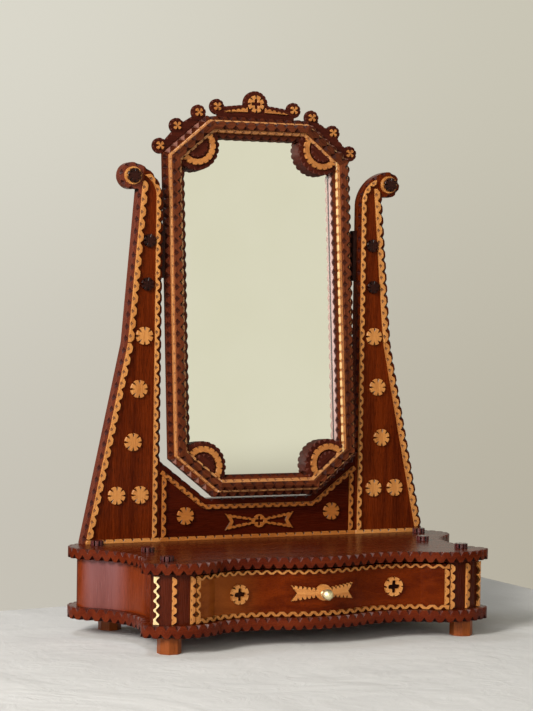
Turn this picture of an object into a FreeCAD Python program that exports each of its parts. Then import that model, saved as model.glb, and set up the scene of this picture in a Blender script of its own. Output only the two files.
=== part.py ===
"""Toilet mirror on a shaped box with one drawer, in notched-strip work.

Frame: +Z up, +X to the mirror's right hand as seen from the front, the front faces -Y, and the
origin is on the floor under the middle of the whole.  Lengths are millimetres, angles degrees.
"""
import FreeCAD, Part
import math
import os

from FreeCAD import Placement, Rotation, Vector

doc = FreeCAD.newDocument("toilet_mirror")

# ---------------------------------------------------------------- driving sizes
SIZES = {
    # feet
    "foot_across": 26, "foot_height": 20, "front_foot_in": 23, "front_foot_back": 13,
    "back_foot_in": 24.5, "back_foot_front": 4,
    # case: plan of its outer face, right-hand half
    "front_centre": 102, "front_hollow": 86.5, "hollow_x": 88, "front_bulge": 109, "bulge_in": 23.5,
    "bend_turn_y": 95.4, "bulge_turn_x": 134.5, "bulge_turn_y": 94.6,
    "corner_x": 213.5, "corner_y": 95, "corner_radius": 5, "waist_in": 14.5, "waist_y": 19,
    "lobe_out": 8, "lobe_y": 62, "lobe_radius": 24, "lobe_meets": 50,
    # case: boards and panels
    "bottom_board_thick": 14, "case_height": 58, "top_board_thick": 12.5, "board_overhang": 11,
    "panel_thick": 10, "block_back": 67, "block_width": 48.5, "guide_thick": 6,
    # drawer
    "drawer_gap": 0.5, "drawer_top_gap": 3, "drawer_wall": 8, "drawer_bottom_thick": 4,
    "drawer_bottom_rise": 5, "front_thin": 11.5, "stop_depth": 10.5, "stop_width": 24,
    "stop_height": 22, "stop_x": 100, "knob_radius": 6.5, "knob_neck": 3, "knob_foot": 4.5,
    "knob_stand": 9.8, "knob_drop": 1.4, "knob_shoulder": 53, "screw_radius": 2,
    "screw_head_radius": 4, "screw_head_thick": 2,
    "fit_gap": 0.05,
    # posts and apron
    "post_front_y": 83, "post_thick": 14, "post_inner": 134, "post_foot_in": 23, "knee_x": 182,
    "knee_rise": 243.5, "neck_x": 166.3, "scroll_x": 174.4, "scroll_rise": 446, "scroll_radius": 16.4,
    "head_spring": 422, "head_x": 144.6, "head_rise": 446, "scroll_over": 15,
    "scroll_under": 20, "apron_height": 50.5, "apron_flat": 72, "apron_shoulder": 98.5,
    # applied strips
    "strip_width": 6.6, "strip_thick": 4, "strip_pitch": 15, "notch_depth": 2.6,
    "edge_strip_width": 5.4, "edge_strip_pitch": 12.3, "strip_gap": 0.8, "inner_margin": 3,
    "outer_margin": 4.3, "strip_apex_x": 156, "strip_apex_rise": 452, "apron_margin": 6,
    "apron_strip_x": 131.5,
    "pilaster_in": 3.8, "pilaster_spacing": 21.5, "pilaster_width": 6, "ribbon_width": 6,
    # rosettes, rings, bosses and bow-ties
    "petal_depth": 2, "rosette_radius": 11, "rosette_thick": 3.5, "rosette_low_rise": 57.8,
    "rosette_low_pitch": 30.5, "rosette_margin": 26, "rosette_pitch": 64.7, "dark_radius": 8.1,
    "dark_thick": 5, "dark_rise": 315, "dark_pitch": 52.7, "ring_radius": 11.6, "ring_thick": 4,
    "boss_radius": 8, "boss_height": 6, "boss_in": 2, "boss_back": 6, "waist_boss_in": 15.4,
    "waist_boss_back": 11, "front_boss_back": 19, "apron_rosette_x": 100,
    "apron_rosette_rise": 30.2, "bow_rise": 21, "bow_half": 47, "bow_tip": 11, "bow_eye": 9,
    "bow_slope": 25,
    "drawer_rosette_x": 101, "drawer_rosette_radius": 11.8, "drawer_rosette_hole": 4.5,
    "drawer_bow_half": 39, "drawer_bow_tip": 9, "drawer_bow_eye": 12,
    # mirror
    "tilt": 5.1, "pivot_rise": 354.5, "pivot_back": 10, "pin_below_face": 3.5, "pin_radius": 1.6,
    "pin_in_post": 14, "pin_in_frame": 7, "plate_gap": 0.9, "plate_length": 64, "plate_depth": 10,
    "frame_gap": 6.5, "frame_half_height": 236, "frame_clear": 2.5, "clip_x": 58, "clip_z": 48,
    "member_width": 27.3, "base_layer": 9, "middle_inset": 5.7, "middle_width": 13,
    "middle_layer": 6, "top_inset": 8.2, "top_width": 9, "top_layer": 6, "glass_thick": 3,
    "glass_rebate": 6, "glass_gap": 0.5, "back_inset": 8, "backboard_thick": 5,
    "back_screw_radius": 1.5, "back_screw_head": 3, "back_screw_length": 12,
    "back_screw_spacing": 220, "bracket_radius": 31.3, "bracket_lift": 3.5,
    "bracket_ring_radius": 25.2, "bracket_ring_width": 8, "bracket_ring_thick": 3.5,
    # crest
    "crest_thick": 4, "crest_applied": 2.5, "crest_rise": 18.1, "crest_radius": 16.8,
    "crest_web_rise": 19, "crest_web_end": 12.5, "crest_end_x": 52.6, "crest_end_rise": 12.9,
    "crest_disc": 9.8,
    "corner_disc_in": 3.5, "corner_disc_out": 8.6, "corner_middle_out": 13.6, "cross_radius": 5.6,
    "cross_depth": 2.8, "wedge_start": 12, "wedge_end": 40.5, "wedge_rise": 7.5,
    "wedge_width": 5.5,
}

sheet = doc.addObject("Spreadsheet::Sheet", "Sizes")
for row, (alias, value) in enumerate(SIZES.items(), start=1):
    sheet.set(f"A{row}", alias)
    sheet.set(f"B{row}", str(value))
    sheet.setAlias(f"B{row}", alias)
doc.recompute()


def size(alias):
    """One driving size, read back from the sheet."""
    return float(sheet.get(alias))


# levels and faces that several pieces share
waist_x = size("corner_x") - size("waist_in")
lobe_x = size("corner_x") + size("lobe_out")
bulge_x = size("corner_x") - size("bulge_in")
post_foot = lobe_x + size("lobe_radius") + size("board_overhang") - size("post_foot_in")
board_floor = size("foot_height") + size("bottom_board_thick")
board_roof = board_floor + size("case_height")
board_top = board_roof + size("top_board_thick")
case_back = size("lobe_y") + size("lobe_radius")
post_face = size("post_front_y")
front_back_face = size("front_thin") - size("front_hollow")
drawer_middle = board_floor + (size("case_height") + size("drawer_gap") - size("drawer_top_gap")) / 2
knob_height = drawer_middle - size("knob_drop")
frame_half_width = size("post_inner") - size("frame_gap")
frame_below = size("pivot_rise") - size("apron_height") - size("frame_clear")
frame_middle = size("frame_half_height") - frame_below
pivot_height = board_top + size("pivot_rise")
pivot_y = post_face + size("pivot_back")

parts = []
SIDES = (("left", -1), ("right", 1))


def sub_part(obj, label):
    """Give an object the name its file will have and keep it for export."""
    obj.Label = label
    parts.append(obj)
    return obj


# ---------------------------------------------------------------- outline helpers
FACING_FRONT = Rotation(Vector(1, 0, 0), 90)
ALONG_X = Rotation(Vector(0, 1, 0), 90)


def arc(start, middle, end):
    return Part.Arc(Vector(*start), Vector(*middle), Vector(*end))


def line(start, end):
    return Part.LineSegment(Vector(*start), Vector(*end))


def closed_lines(points):
    """Straight edges round a list of (x, y) points."""
    flat = [(x, y, 0) for x, y in points]
    return [line(a, b) for a, b in zip(flat, flat[1:] + flat[:1])]


def petalled(x, z, radius, depth, count):
    """Round outline of equal petals with notches between them."""
    def spot(turn, reach):
        return Vector(x + reach * math.cos(turn), z + reach * math.sin(turn), 0)

    step = 2 * math.pi / count
    notches = [spot(i * step, radius - depth) for i in range(count)]
    tips = [spot((i + 0.5) * step, radius) for i in range(count)]
    return [Part.Arc(a, tip, b) for a, tip, b in zip(notches, tips, notches[1:] + notches[:1])]


def lobed(path, width, pitch, side):
    """Outline of a strip: a smooth edge along a path, and beside it an edge of lobes and notches."""
    edge = path.toShape()
    count = max(1, round(edge.Length / pitch))

    def spot(share, height):
        at = edge.getParameterByLength(share * edge.Length)
        tangent = edge.tangentAt(at)
        return edge.valueAt(at) + Vector(-tangent.y, tangent.x, 0) * (side * height)

    notches = [spot(i / count, width - size("notch_depth")) for i in range(count + 1)]
    crowns = [spot((i + 0.5) / count, width) for i in range(count)]
    lobes = [Part.Arc(a, crown, b) for a, crown, b in zip(notches, crowns, notches[1:])]
    ends = [Part.LineSegment(spot(0, 0), notches[0]), Part.LineSegment(notches[-1], spot(1, 0))]
    return [path] + ends + lobes


def origin_plane(body, role):
    return next(item for item in body.Origin.OriginFeatures if item.Role == role)


def sketch_on(body, role, curves, offset):
    """Sketch on one of the body's own origin planes, moved along its normal by an expression."""
    sketch = body.newObject("Sketcher::SketchObject", body.Name + "_sketch")
    sketch.AttachmentSupport = (origin_plane(body, role), "")
    sketch.MapMode = "FlatFace"
    sketch.setExpression("AttachmentOffset.Base.z", offset)
    sketch.addGeometry(curves, False)
    return sketch


def padded(label, role, curves, length, offset="0"):
    """PartDesign body with one pad, its length and offset bound to the sheet."""
    body = sub_part(doc.addObject("PartDesign::Body", label), label)
    sketch = sketch_on(body, role, curves, offset)
    pad = body.newObject("PartDesign::Pad", label + "_pad")
    pad.Profile = sketch
    pad.setExpression("Length", length)
    return body


def box(label, corner, lengths, keep=True):
    """Part box from expressions for its corner and its three lengths."""
    obj = doc.addObject("Part::Box", label)
    for name, expression in zip(("Length", "Width", "Height"), lengths):
        obj.setExpression(name, expression)
    for axis, expression in zip("xyz", corner):
        obj.setExpression(f"Placement.Base.{axis}", expression)
    return sub_part(obj, label) if keep else obj


def cylinder(name, radius, height, place):
    """Part cylinder from expressions for its radius and height, at a placement."""
    obj = doc.addObject("Part::Cylinder", name)
    obj.setExpression("Radius", radius)
    obj.setExpression("Height", height)
    obj.Placement = place
    return obj


def boolean(kind, label, base, tool, keep=True):
    obj = doc.addObject("Part::" + kind, label)
    obj.Base, obj.Tool = base, tool
    return sub_part(obj, label) if keep else obj


def grouped(label, solids, keep=True):
    """Several like pieces in one node, each still a solid of its own."""
    obj = doc.addObject("Part::Compound", label)
    obj.Links = solids
    return sub_part(obj, label) if keep else obj


def fused(label, solids, keep=True):
    """One piece built up from overlapping solids."""
    obj = doc.addObject("Part::MultiFuse", label)
    obj.Shapes, obj.Refine = solids, True
    return sub_part(obj, label) if keep else obj


def plates(label, outlines, back, thick, keep=True):
    """Flat upright pieces, one for each outline in (x, z), from a back face towards the front."""
    solids = []
    for index, curves in enumerate(outlines, start=1):
        sketch = doc.addObject("Sketcher::SketchObject", f"{label}_outline_{index}")
        sketch.Placement = Placement(Vector(0, 0, 0), FACING_FRONT)
        sketch.setExpression("Placement.Base.y", back)
        sketch.addGeometry(curves, False)
        solid = doc.addObject("Part::Extrusion", f"{label}_{index}")
        solid.Base, solid.DirMode, solid.Dir, solid.Solid = sketch, "Custom", Vector(0, -1, 0), True
        solid.setExpression("LengthFwd", thick)
        solids.append(solid)
    if len(solids) > 1:
        return grouped(label, solids, keep)
    return sub_part(solids[0], label) if keep else solids[0]


def extruded(label, base, length, level, keep=True):
    """Upright solid on a flat outline, from a level, both bound to the sheet."""
    obj = doc.addObject("Part::Extrusion", label)
    obj.Base, obj.DirMode, obj.Dir, obj.Solid = base, "Custom", Vector(0, 0, 1), True
    obj.setExpression("LengthFwd", length)
    obj.setExpression("Placement.Base.z", level)
    return sub_part(obj, label) if keep else obj


FLOOR = "Sizes.foot_height + Sizes.bottom_board_thick"
ROOF = FLOOR + " + Sizes.case_height"
BOARD_TOP = ROOF + " + Sizes.top_board_thick"


# ---------------------------------------------------------------- case plan
def case_front():
    """Right-hand half of the serpentine front: centre bulge, hollow, then the pilaster's bulge."""
    half = size("hollow_x") / 2
    turn = (half, -size("bend_turn_y"))
    out = (size("bulge_turn_x"), -size("bulge_turn_y"))
    corner = (size("corner_x") - size("corner_radius"), -size("corner_y") - size("corner_radius"))
    quarter_y = -size("front_centre") + (size("front_centre") - size("bend_turn_y")) / 4
    return [
        ((0, -size("front_centre")), (half / 2, quarter_y), turn),
        (turn, (size("hollow_x"), -size("front_hollow")), out),
        (out, (bulge_x, -size("front_bulge")), corner),
    ]


def case_side():
    """Right-hand side: rounded corner, hollow waist, round back lobe and half the back."""
    corner_x, corner_y, radius = size("corner_x"), size("corner_y"), size("corner_radius")
    quarter = radius * (1 - math.sqrt(0.5))
    lobe, lobe_y, reach = lobe_x, size("lobe_y"), size("lobe_radius")
    meet = math.radians(size("lobe_meets"))
    join = (lobe + reach * math.cos(meet), lobe_y - reach * math.sin(meet))
    half = (math.pi / 2 - meet) / 2
    return [
        ((corner_x - radius, -corner_y - radius), (corner_x - quarter, -corner_y - radius + quarter),
         (corner_x, -corner_y)),
        ((corner_x, -corner_y), (waist_x, -size("waist_y")), join),
        (join, (lobe + reach * math.cos(half), lobe_y + reach * math.sin(half)), (lobe, lobe_y + reach)),
    ]


def plan_curves():
    right = case_front() + case_side()
    curves = [arc(*[(x, y, 0) for x, y in spots]) for spots in right]
    curves += [arc(*[(-x, y, 0) for x, y in spots]) for spots in right]
    curves.append(line((lobe_x, case_back, 0), (-lobe_x, case_back, 0)))
    return curves


plan_sketch = doc.addObject("Sketcher::SketchObject", "case_plan")
plan_sketch.addGeometry(plan_curves(), False)
doc.recompute()


def plan_offset(name, value):
    """The case plan grown by an expression; a negative one shrinks it."""
    obj = doc.addObject("Part::Offset2D", name)
    obj.Source, obj.Join, obj.Fill = plan_sketch, 0, False
    obj.setExpression("Value", value)
    return obj


board_plan = plan_offset("board_plan", "Sizes.board_overhang")
inner_plan = plan_offset("inner_plan", "-Sizes.panel_thick")
skin_plan = plan_offset("skin_plan", "Sizes.strip_thick")

# ---------------------------------------------------------------- boards and feet
extruded("bottom_board", board_plan, "Sizes.bottom_board_thick", "Sizes.foot_height")
extruded("top_board", board_plan, "Sizes.top_board_thick", ROOF)


def octagon_foot(label, x, y):
    corner = size("foot_across") / 2 / math.cos(math.pi / 8)
    turns = [math.radians(22.5 + 45 * i) for i in range(8)]
    points = [(x + corner * math.cos(a), y + corner * math.sin(a)) for a in turns]
    padded(label, "XY_Plane", closed_lines(points), "Sizes.foot_height")


front_foot = (size("corner_x") - size("front_foot_in"), size("front_foot_back") - size("front_bulge"))
back_foot = (lobe_x - size("back_foot_in"), case_back - size("back_foot_front"))
for side, sign in SIDES:
    octagon_foot("foot_front_" + side, sign * front_foot[0], front_foot[1])
    octagon_foot("foot_back_" + side, sign * back_foot[0], back_foot[1])

# ---------------------------------------------------------------- case walls
case_solid = extruded("case_solid", plan_sketch, "Sizes.case_height", FLOOR, keep=False)
case_hollow = extruded("case_hollow", inner_plan, "Sizes.case_height", FLOOR, keep=False)
case_wall = boolean("Cut", "case_wall", case_solid, case_hollow, keep=False)
BACK_START = "Sizes.lobe_y + Sizes.lobe_radius - Sizes.panel_thick"
BACK_HALF = "Sizes.corner_x + Sizes.lobe_out - Sizes.panel_thick"
back_zone = box("back_zone", (f"-({BACK_HALF})", BACK_START, FLOOR),
                (f"2 * ({BACK_HALF})", "2 * Sizes.panel_thick", "Sizes.case_height"), keep=False)
boolean("Common", "case_back", case_wall, back_zone)
wall_less_back = boolean("Cut", "wall_less_back", case_wall, back_zone, keep=False)
SIDE_REACH = "Sizes.corner_x + Sizes.lobe_out + 2 * Sizes.lobe_radius"
OPENING_HALF = "Sizes.corner_x - Sizes.block_width"
for side, sign in SIDES:
    start = OPENING_HALF if sign > 0 else f"-({SIDE_REACH})"
    width = f"{SIDE_REACH} - ({OPENING_HALF})"
    side_zone = box("side_zone_" + side, (start, "-Sizes.block_back", FLOOR),
                    (width, f"Sizes.block_back + {BACK_START} + 2 * Sizes.panel_thick",
                     "Sizes.case_height"), keep=False)
    boolean("Common", "side_panel_" + side, wall_less_back, side_zone)
    corner_zone = box("corner_zone_" + side, (start, "-Sizes.block_back - 2 * Sizes.front_bulge", FLOOR),
                      (width, "2 * Sizes.front_bulge", "Sizes.case_height"), keep=False)
    boolean("Common", "corner_block_" + side, case_solid, corner_zone)
    guide_x = OPENING_HALF if sign > 0 else f"-({OPENING_HALF}) - Sizes.guide_thick"
    box("drawer_guide_" + side, (guide_x, "-Sizes.block_back", FLOOR),
        ("Sizes.guide_thick", f"Sizes.block_back + {BACK_START}", "Sizes.case_height"))

DRAWER_END = f"{BACK_START} - Sizes.stop_depth - Sizes.drawer_gap"
stop_blocks = []
for name, x in (("stop_left", "-Sizes.stop_x - Sizes.stop_width"), ("stop_right", "Sizes.stop_x")):
    stop_blocks.append(box(name, (x, f"{DRAWER_END} + Sizes.drawer_gap", FLOOR),
                           ("Sizes.stop_width", "Sizes.stop_depth", "Sizes.stop_height"), keep=False))
grouped("drawer_stops", stop_blocks)

# ---------------------------------------------------------------- drawer box
DRAWER_FLOOR = FLOOR + " + Sizes.drawer_gap"
DRAWER_HIGH = "Sizes.case_height - Sizes.drawer_gap - Sizes.drawer_top_gap"
DRAWER_HALF = f"{OPENING_HALF} - Sizes.drawer_gap"
FRONT_BACK = "Sizes.front_thin - Sizes.front_hollow"
DRAWER_LENGTH = f"{DRAWER_END} - ({FRONT_BACK})"
front_zone = box("front_zone",
                 (f"-({DRAWER_HALF})", f"{FRONT_BACK} - 2 * Sizes.front_centre", DRAWER_FLOOR),
                 (f"2 * ({DRAWER_HALF})", "2 * Sizes.front_centre", DRAWER_HIGH), keep=False)
front_blank = boolean("Common", "front_blank", case_solid, front_zone, keep=False)
screw_hole = cylinder("screw_hole", "Sizes.screw_radius + Sizes.fit_gap", "2 * Sizes.front_centre",
                      Placement(Vector(0, 0, knob_height), FACING_FRONT))
boolean("Cut", "drawer_front", front_blank, screw_hole)
for side, x in (("left", f"-({DRAWER_HALF})"), ("right", f"{DRAWER_HALF} - Sizes.drawer_wall")):
    box("drawer_side_" + side, (x, FRONT_BACK, DRAWER_FLOOR),
        ("Sizes.drawer_wall", DRAWER_LENGTH, DRAWER_HIGH))
INNER_HALF = f"{DRAWER_HALF} - Sizes.drawer_wall"
box("drawer_back", (f"-({INNER_HALF})", f"{DRAWER_END} - Sizes.drawer_wall", DRAWER_FLOOR),
    (f"2 * ({INNER_HALF})", "Sizes.drawer_wall", DRAWER_HIGH))
box("drawer_bottom", (f"-({INNER_HALF})", FRONT_BACK, f"{DRAWER_FLOOR} + Sizes.drawer_bottom_rise"),
    (f"2 * ({INNER_HALF})", f"{DRAWER_LENGTH} - Sizes.drawer_wall", "Sizes.drawer_bottom_thick"))

# ---------------------------------------------------------------- knob
knob_seat = -size("front_centre") - size("strip_thick")


def knob_profile():
    """Half section of the turned knob: flat seat, waisted neck, round head, bored for its screw."""
    bore = size("screw_radius") + size("fit_gap")
    neck, ball, stand = size("knob_neck"), size("knob_radius"), size("knob_stand")
    slope = math.radians(size("knob_shoulder"))
    shoulder = ball * math.cos(slope)
    neck_top = stand - ball * math.sin(slope)
    return [
        line((bore, 0, 0), (size("knob_foot"), 0, 0)),
        arc((size("knob_foot"), 0, 0), (neck, neck_top / 2, 0), (shoulder, neck_top, 0)),
        arc((shoulder, neck_top, 0), (ball, stand, 0), (0, stand + ball, 0)),
        line((0, stand + ball, 0), (0, stand, 0)),
        line((0, stand, 0), (bore, stand, 0)),
        line((bore, stand, 0), (bore, 0, 0)),
    ]


knob = sub_part(doc.addObject("PartDesign::Body", "knob"), "knob")
knob_sketch = sketch_on(knob, "XY_Plane", knob_profile(), "0")
turned = knob.newObject("PartDesign::Revolution", "knob_turned")
turned.Profile = knob_sketch
turned.ReferenceAxis = (knob_sketch, ["V_Axis"])
turned.Angle = 360
knob.Placement = Placement(Vector(0, knob_seat, knob_height), Rotation(Vector(0, 0, 1), 180))

SCREW_RUN = f"{FRONT_BACK} + Sizes.front_centre + Sizes.strip_thick + Sizes.knob_stand"
screw_place = Placement(Vector(0, front_back_face, knob_height), FACING_FRONT)
head_place = Placement(Vector(0, front_back_face + size("screw_head_thick"), knob_height), FACING_FRONT)
screw_shank = cylinder("screw_shank", "Sizes.screw_radius", SCREW_RUN, screw_place)
screw_head = cylinder("screw_head", "Sizes.screw_head_radius", "Sizes.screw_head_thick", head_place)
fused("knob_screw", [screw_shank, screw_head])


# ---------------------------------------------------------------- posts and apron
def edge_x(z):
    """X of a post's outer edge at a height: two straight runs that meet at the knee."""
    knee_z = board_top + size("knee_rise")
    neck_z = board_top + size("scroll_rise") - size("scroll_radius")
    if z < knee_z:
        share = (z - board_top) / (knee_z - board_top)
        return post_foot + share * (size("knee_x") - post_foot)
    return size("knee_x") + (z - knee_z) / (neck_z - knee_z) * (size("neck_x") - size("knee_x"))


def post_outline(sign):
    """A post: straight inner edge, rounded head running into a scroll, slanted outer edge."""
    inner, scroll, reach = size("post_inner"), size("scroll_x"), size("scroll_radius")
    scroll_z = board_top + size("scroll_rise")
    spring_z = board_top + size("head_spring")
    over, under = math.radians(size("scroll_over")), math.radians(size("scroll_under"))
    top = (scroll - reach * math.sin(over), scroll_z + reach * math.cos(over))
    low = (scroll - reach * math.sin(under), scroll_z - reach * math.cos(under))
    head = (size("head_x"), board_top + size("head_rise"))
    neck = (size("neck_x"), scroll_z - reach)
    knee = (size("knee_x"), board_top + size("knee_rise"))

    def at(spot):
        return (sign * spot[0], spot[1], 0)

    return [
        line(at((inner, board_top)), at((inner, spring_z))),
        arc(at((inner, spring_z)), at(head), at(top)),
        arc(at(top), at((scroll + reach, scroll_z)), at(low)),
        line(at(low), at(neck)),
        line(at(neck), at(knee)),
        line(at(knee), at((post_foot, board_top))),
        line(at((post_foot, board_top)), at((inner, board_top))),
    ]


PANEL_BACK = "-(Sizes.post_front_y + Sizes.post_thick)"
for side, sign in SIDES:
    post = padded("post_" + side, "XZ_Plane", post_outline(sign), "Sizes.post_thick", PANEL_BACK)
    bore = Part.Circle(Vector(pivot_y, pivot_height, 0), Vector(0, 0, 1),
                       size("pin_radius") + size("fit_gap"))
    hole_sketch = sketch_on(post, "YZ_Plane", [bore], f"{sign} * Sizes.post_inner")
    hole = post.newObject("PartDesign::Pocket", "pin_hole_" + side)
    hole.Profile = hole_sketch
    hole.Reversed = sign > 0
    hole.setExpression("Length", "Sizes.pin_in_post + Sizes.fit_gap")


def apron_points():
    inner, flat = size("post_inner"), size("apron_flat")
    low, high = board_top + size("apron_height"), board_top + size("apron_shoulder")
    half = [(inner, board_top), (inner, high), (flat, low)]
    return half + [(-x, z) for x, z in reversed(half)]


padded("apron", "XZ_Plane", closed_lines(apron_points()), "Sizes.post_thick", PANEL_BACK)


# ---------------------------------------------------------------- strips on the posts
STRIP_FACE = "Sizes.post_front_y"
foot_strip_top = board_top + size("edge_strip_width")
knee_z = board_top + size("knee_rise")
spring_z = board_top + size("head_spring")
scroll_z = board_top + size("scroll_rise")
apex = (size("strip_apex_x"), board_top + size("strip_apex_rise"))


def strip_run(sign, low, high):
    """Strip between two heights of one side of a post, given its two |x| limits at each end."""
    (low_near, low_far, low_z), (high_near, high_far, high_z) = low, high
    near, far = (low_near, high_near) if sign > 0 else (-low_far, -high_far)
    return lobed(line((near, low_z, 0), (far, high_z, 0)), size("strip_width"), size("strip_pitch"), -1)


def post_strips(sign):
    """Inner, outer, head and foot strips of one post; all lobes of the long ones point right."""
    width, inner = size("strip_width"), size("post_inner") + size("inner_margin")

    # the slanted strips start above the foot strip by what their square-cut ends lean over
    lean = width * (post_foot - size("knee_x")) / size("knee_rise")

    def outer(z):
        edge = edge_x(z) - size("outer_margin")
        return (edge - width, edge, z)

    def centre(z):
        return (inner, inner + width, z)

    runs = [
        strip_run(sign, centre(foot_strip_top), centre(spring_z)),
        strip_run(sign, outer(foot_strip_top + lean), outer(knee_z)),
        strip_run(sign, outer(knee_z + size("strip_gap")), outer(scroll_z - size("ring_radius") / 2)),
    ]
    # the inner strip bends round the head of the post, upright where it leaves the straight run
    reach, climb = apex[0] - inner, apex[1] - spring_z
    bend = (reach ** 2 + climb ** 2) / (2 * reach)
    radius = bend if sign > 0 else bend - width
    turn = math.atan2(climb, bend - reach)

    def round_head(angle):
        return (sign * (inner + bend - radius * math.cos(angle)), spring_z + radius * math.sin(angle), 0)

    head = arc(round_head(0), round_head(turn / 2), round_head(turn))
    runs.append(lobed(head, width, size("strip_pitch"), -1))
    ends = sorted([sign * size("post_inner"), sign * (post_foot - size("outer_margin"))])
    foot = line((ends[0], board_top, 0), (ends[1], board_top, 0))
    runs.append(lobed(foot, size("edge_strip_width"), size("edge_strip_pitch"), 1))
    return runs


for side, sign in SIDES:
    plates("post_strips_" + side, post_strips(sign), STRIP_FACE, "Sizes.strip_thick")


# ---------------------------------------------------------------- strips on the apron
def apron_strips():
    """Flat and slanted strips below the cut-out, upright ones beside the posts and a foot strip."""
    width, pitch, margin = size("strip_width"), size("strip_pitch"), size("apron_margin")
    low_z = board_top + size("apron_height")
    run_x = size("post_inner") - size("apron_flat")
    run_z = size("apron_shoulder") - size("apron_height")
    slant = math.hypot(run_x, run_z)
    top_z = low_z - margin
    turn_x = size("apron_flat") + margin * (slant - run_x) / run_z
    far_x = size("apron_strip_x")
    near_x = far_x - width

    def slant_z(x):
        return top_z + (x - turn_x) * run_z / run_x

    strips = [lobed(line((-turn_x, top_z, 0), (turn_x, top_z, 0)), width, pitch, -1)]
    drop = width * slant / run_x
    join = turn_x + width * run_z / slant
    for sign in (-1, 1):
        rise = line((sign * join, slant_z(join), 0), (sign * far_x, slant_z(far_x), 0))
        strips.append(lobed(rise, width, pitch, -sign))
        low_x = near_x if sign > 0 else -far_x
        upright = line((low_x, foot_strip_top, 0), (low_x, slant_z(near_x) - drop, 0))
        strips.append(lobed(upright, width, pitch, -1))
    foot = line((-size("post_inner"), board_top, 0), (size("post_inner"), board_top, 0))
    strips.append(lobed(foot, size("edge_strip_width"), size("edge_strip_pitch"), 1))
    return strips


plates("apron_strips", apron_strips(), STRIP_FACE, "Sizes.strip_thick")


# ---------------------------------------------------------------- rosettes, rings and bosses
def rosette(x, z):
    return petalled(x, z, size("rosette_radius"), size("petal_depth"), 8)


def post_middle(z):
    """Middle of the panel between a post's two long strips at a height."""
    return (size("post_inner") + size("inner_margin") + edge_x(z) - size("outer_margin")) / 2


low_rosette_z = board_top + size("rosette_low_rise")
inner_rosette_x = size("post_inner") + size("rosette_margin")
for side, sign in SIDES:
    spots = [(inner_rosette_x, low_rosette_z), (inner_rosette_x + size("rosette_low_pitch"), low_rosette_z)]
    for i in range(1, 4):
        z = low_rosette_z + i * size("rosette_pitch")
        spots.append((post_middle(z), z))
    plates("post_rosettes_" + side, [rosette(sign * x, z) for x, z in spots], STRIP_FACE,
           "Sizes.rosette_thick")

dark_spots = [board_top + size("dark_rise") + i * size("dark_pitch") for i in range(2)]
plates("dark_rosettes", [petalled(sign * post_middle(z), z, size("dark_radius"), size("petal_depth"), 8)
                         for _, sign in SIDES for z in dark_spots], STRIP_FACE, "Sizes.dark_thick")
plates("scroll_rings", [petalled(sign * size("scroll_x"), scroll_z, size("ring_radius"), 1, 12)
                        for _, sign in SIDES], STRIP_FACE, "Sizes.ring_thick")
plates("scroll_bosses", [petalled(sign * size("scroll_x"), scroll_z, size("dark_radius"),
                                  size("petal_depth"), 8) for _, sign in SIDES],
       STRIP_FACE + " - Sizes.ring_thick", "Sizes.dark_thick")
plates("apron_rosettes", [rosette(sign * size("apron_rosette_x"), board_top + size("apron_rosette_rise"))
                          for _, sign in SIDES], STRIP_FACE, "Sizes.rosette_thick")


def bow(z, half, tip, eye):
    """Bow-tie: a round eye between two fish tails."""
    slope = math.radians(size("bow_slope"))
    waist, near = eye * math.sin(slope), eye * math.cos(slope)
    fork = half - tip
    right = [(near, z - waist), (half, z - tip), (fork, z), (half, z + tip), (near, z + waist)]
    left = [(-x, height) for x, height in reversed(right)]

    def run(points):
        return [line((*a, 0), (*b, 0)) for a, b in zip(points, points[1:])]

    over = arc((near, z + waist, 0), (0, z + eye, 0), (-near, z + waist, 0))
    under = arc((-near, z - waist, 0), (0, z - eye, 0), (near, z - waist, 0))
    return run(right) + [over] + run(left) + [under]


bow_z = board_top + size("bow_rise")
cross_hole = petalled(0, bow_z, size("cross_radius"), size("cross_depth"), 4)
plates("apron_bowtie", [bow(bow_z, size("bow_half"), size("bow_tip"), size("bow_eye")) + cross_hole],
       STRIP_FACE, "Sizes.rosette_thick")

boss_spots = [
    (lobe_x - size("boss_in"), size("lobe_y") + size("boss_back")),
    (waist_x - size("waist_boss_in"), size("waist_boss_back") - size("waist_y")),
    (bulge_x + size("boss_in"), size("front_boss_back") - size("front_bulge")),
]
bosses = []
for number, (x, y) in enumerate([(sign * x, y) for _, sign in SIDES for x, y in boss_spots], start=1):
    boss_sketch = doc.addObject("Sketcher::SketchObject", f"boss_outline_{number}")
    boss_sketch.addGeometry(petalled(x, y, size("boss_radius"), size("petal_depth"), 8), False)
    bosses.append(extruded(f"boss_{number}", boss_sketch, "Sizes.boss_height", BOARD_TOP, keep=False))
grouped("top_board_bosses", bosses)

# ---------------------------------------------------------------- ornament on the curved front
skin_solid = extruded("skin_solid", skin_plan, DRAWER_HIGH, DRAWER_FLOOR, keep=False)
skin = boolean("Cut", "skin", skin_solid, case_solid, keep=False)
DEEP = "2 * Sizes.front_bulge"


def on_front(label, tool, keep=True):
    """What a solid run through the curved front leaves of the applied layer."""
    return boolean("Common", label, skin, tool, keep)


def skin_box(name, low_x, width, low_z, height):
    """Upright block across the applied layer in front of the case."""
    return box(name, (low_x, f"-({DEEP})", low_z), (width, f"{DEEP} - Sizes.corner_y", height), keep=False)


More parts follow.
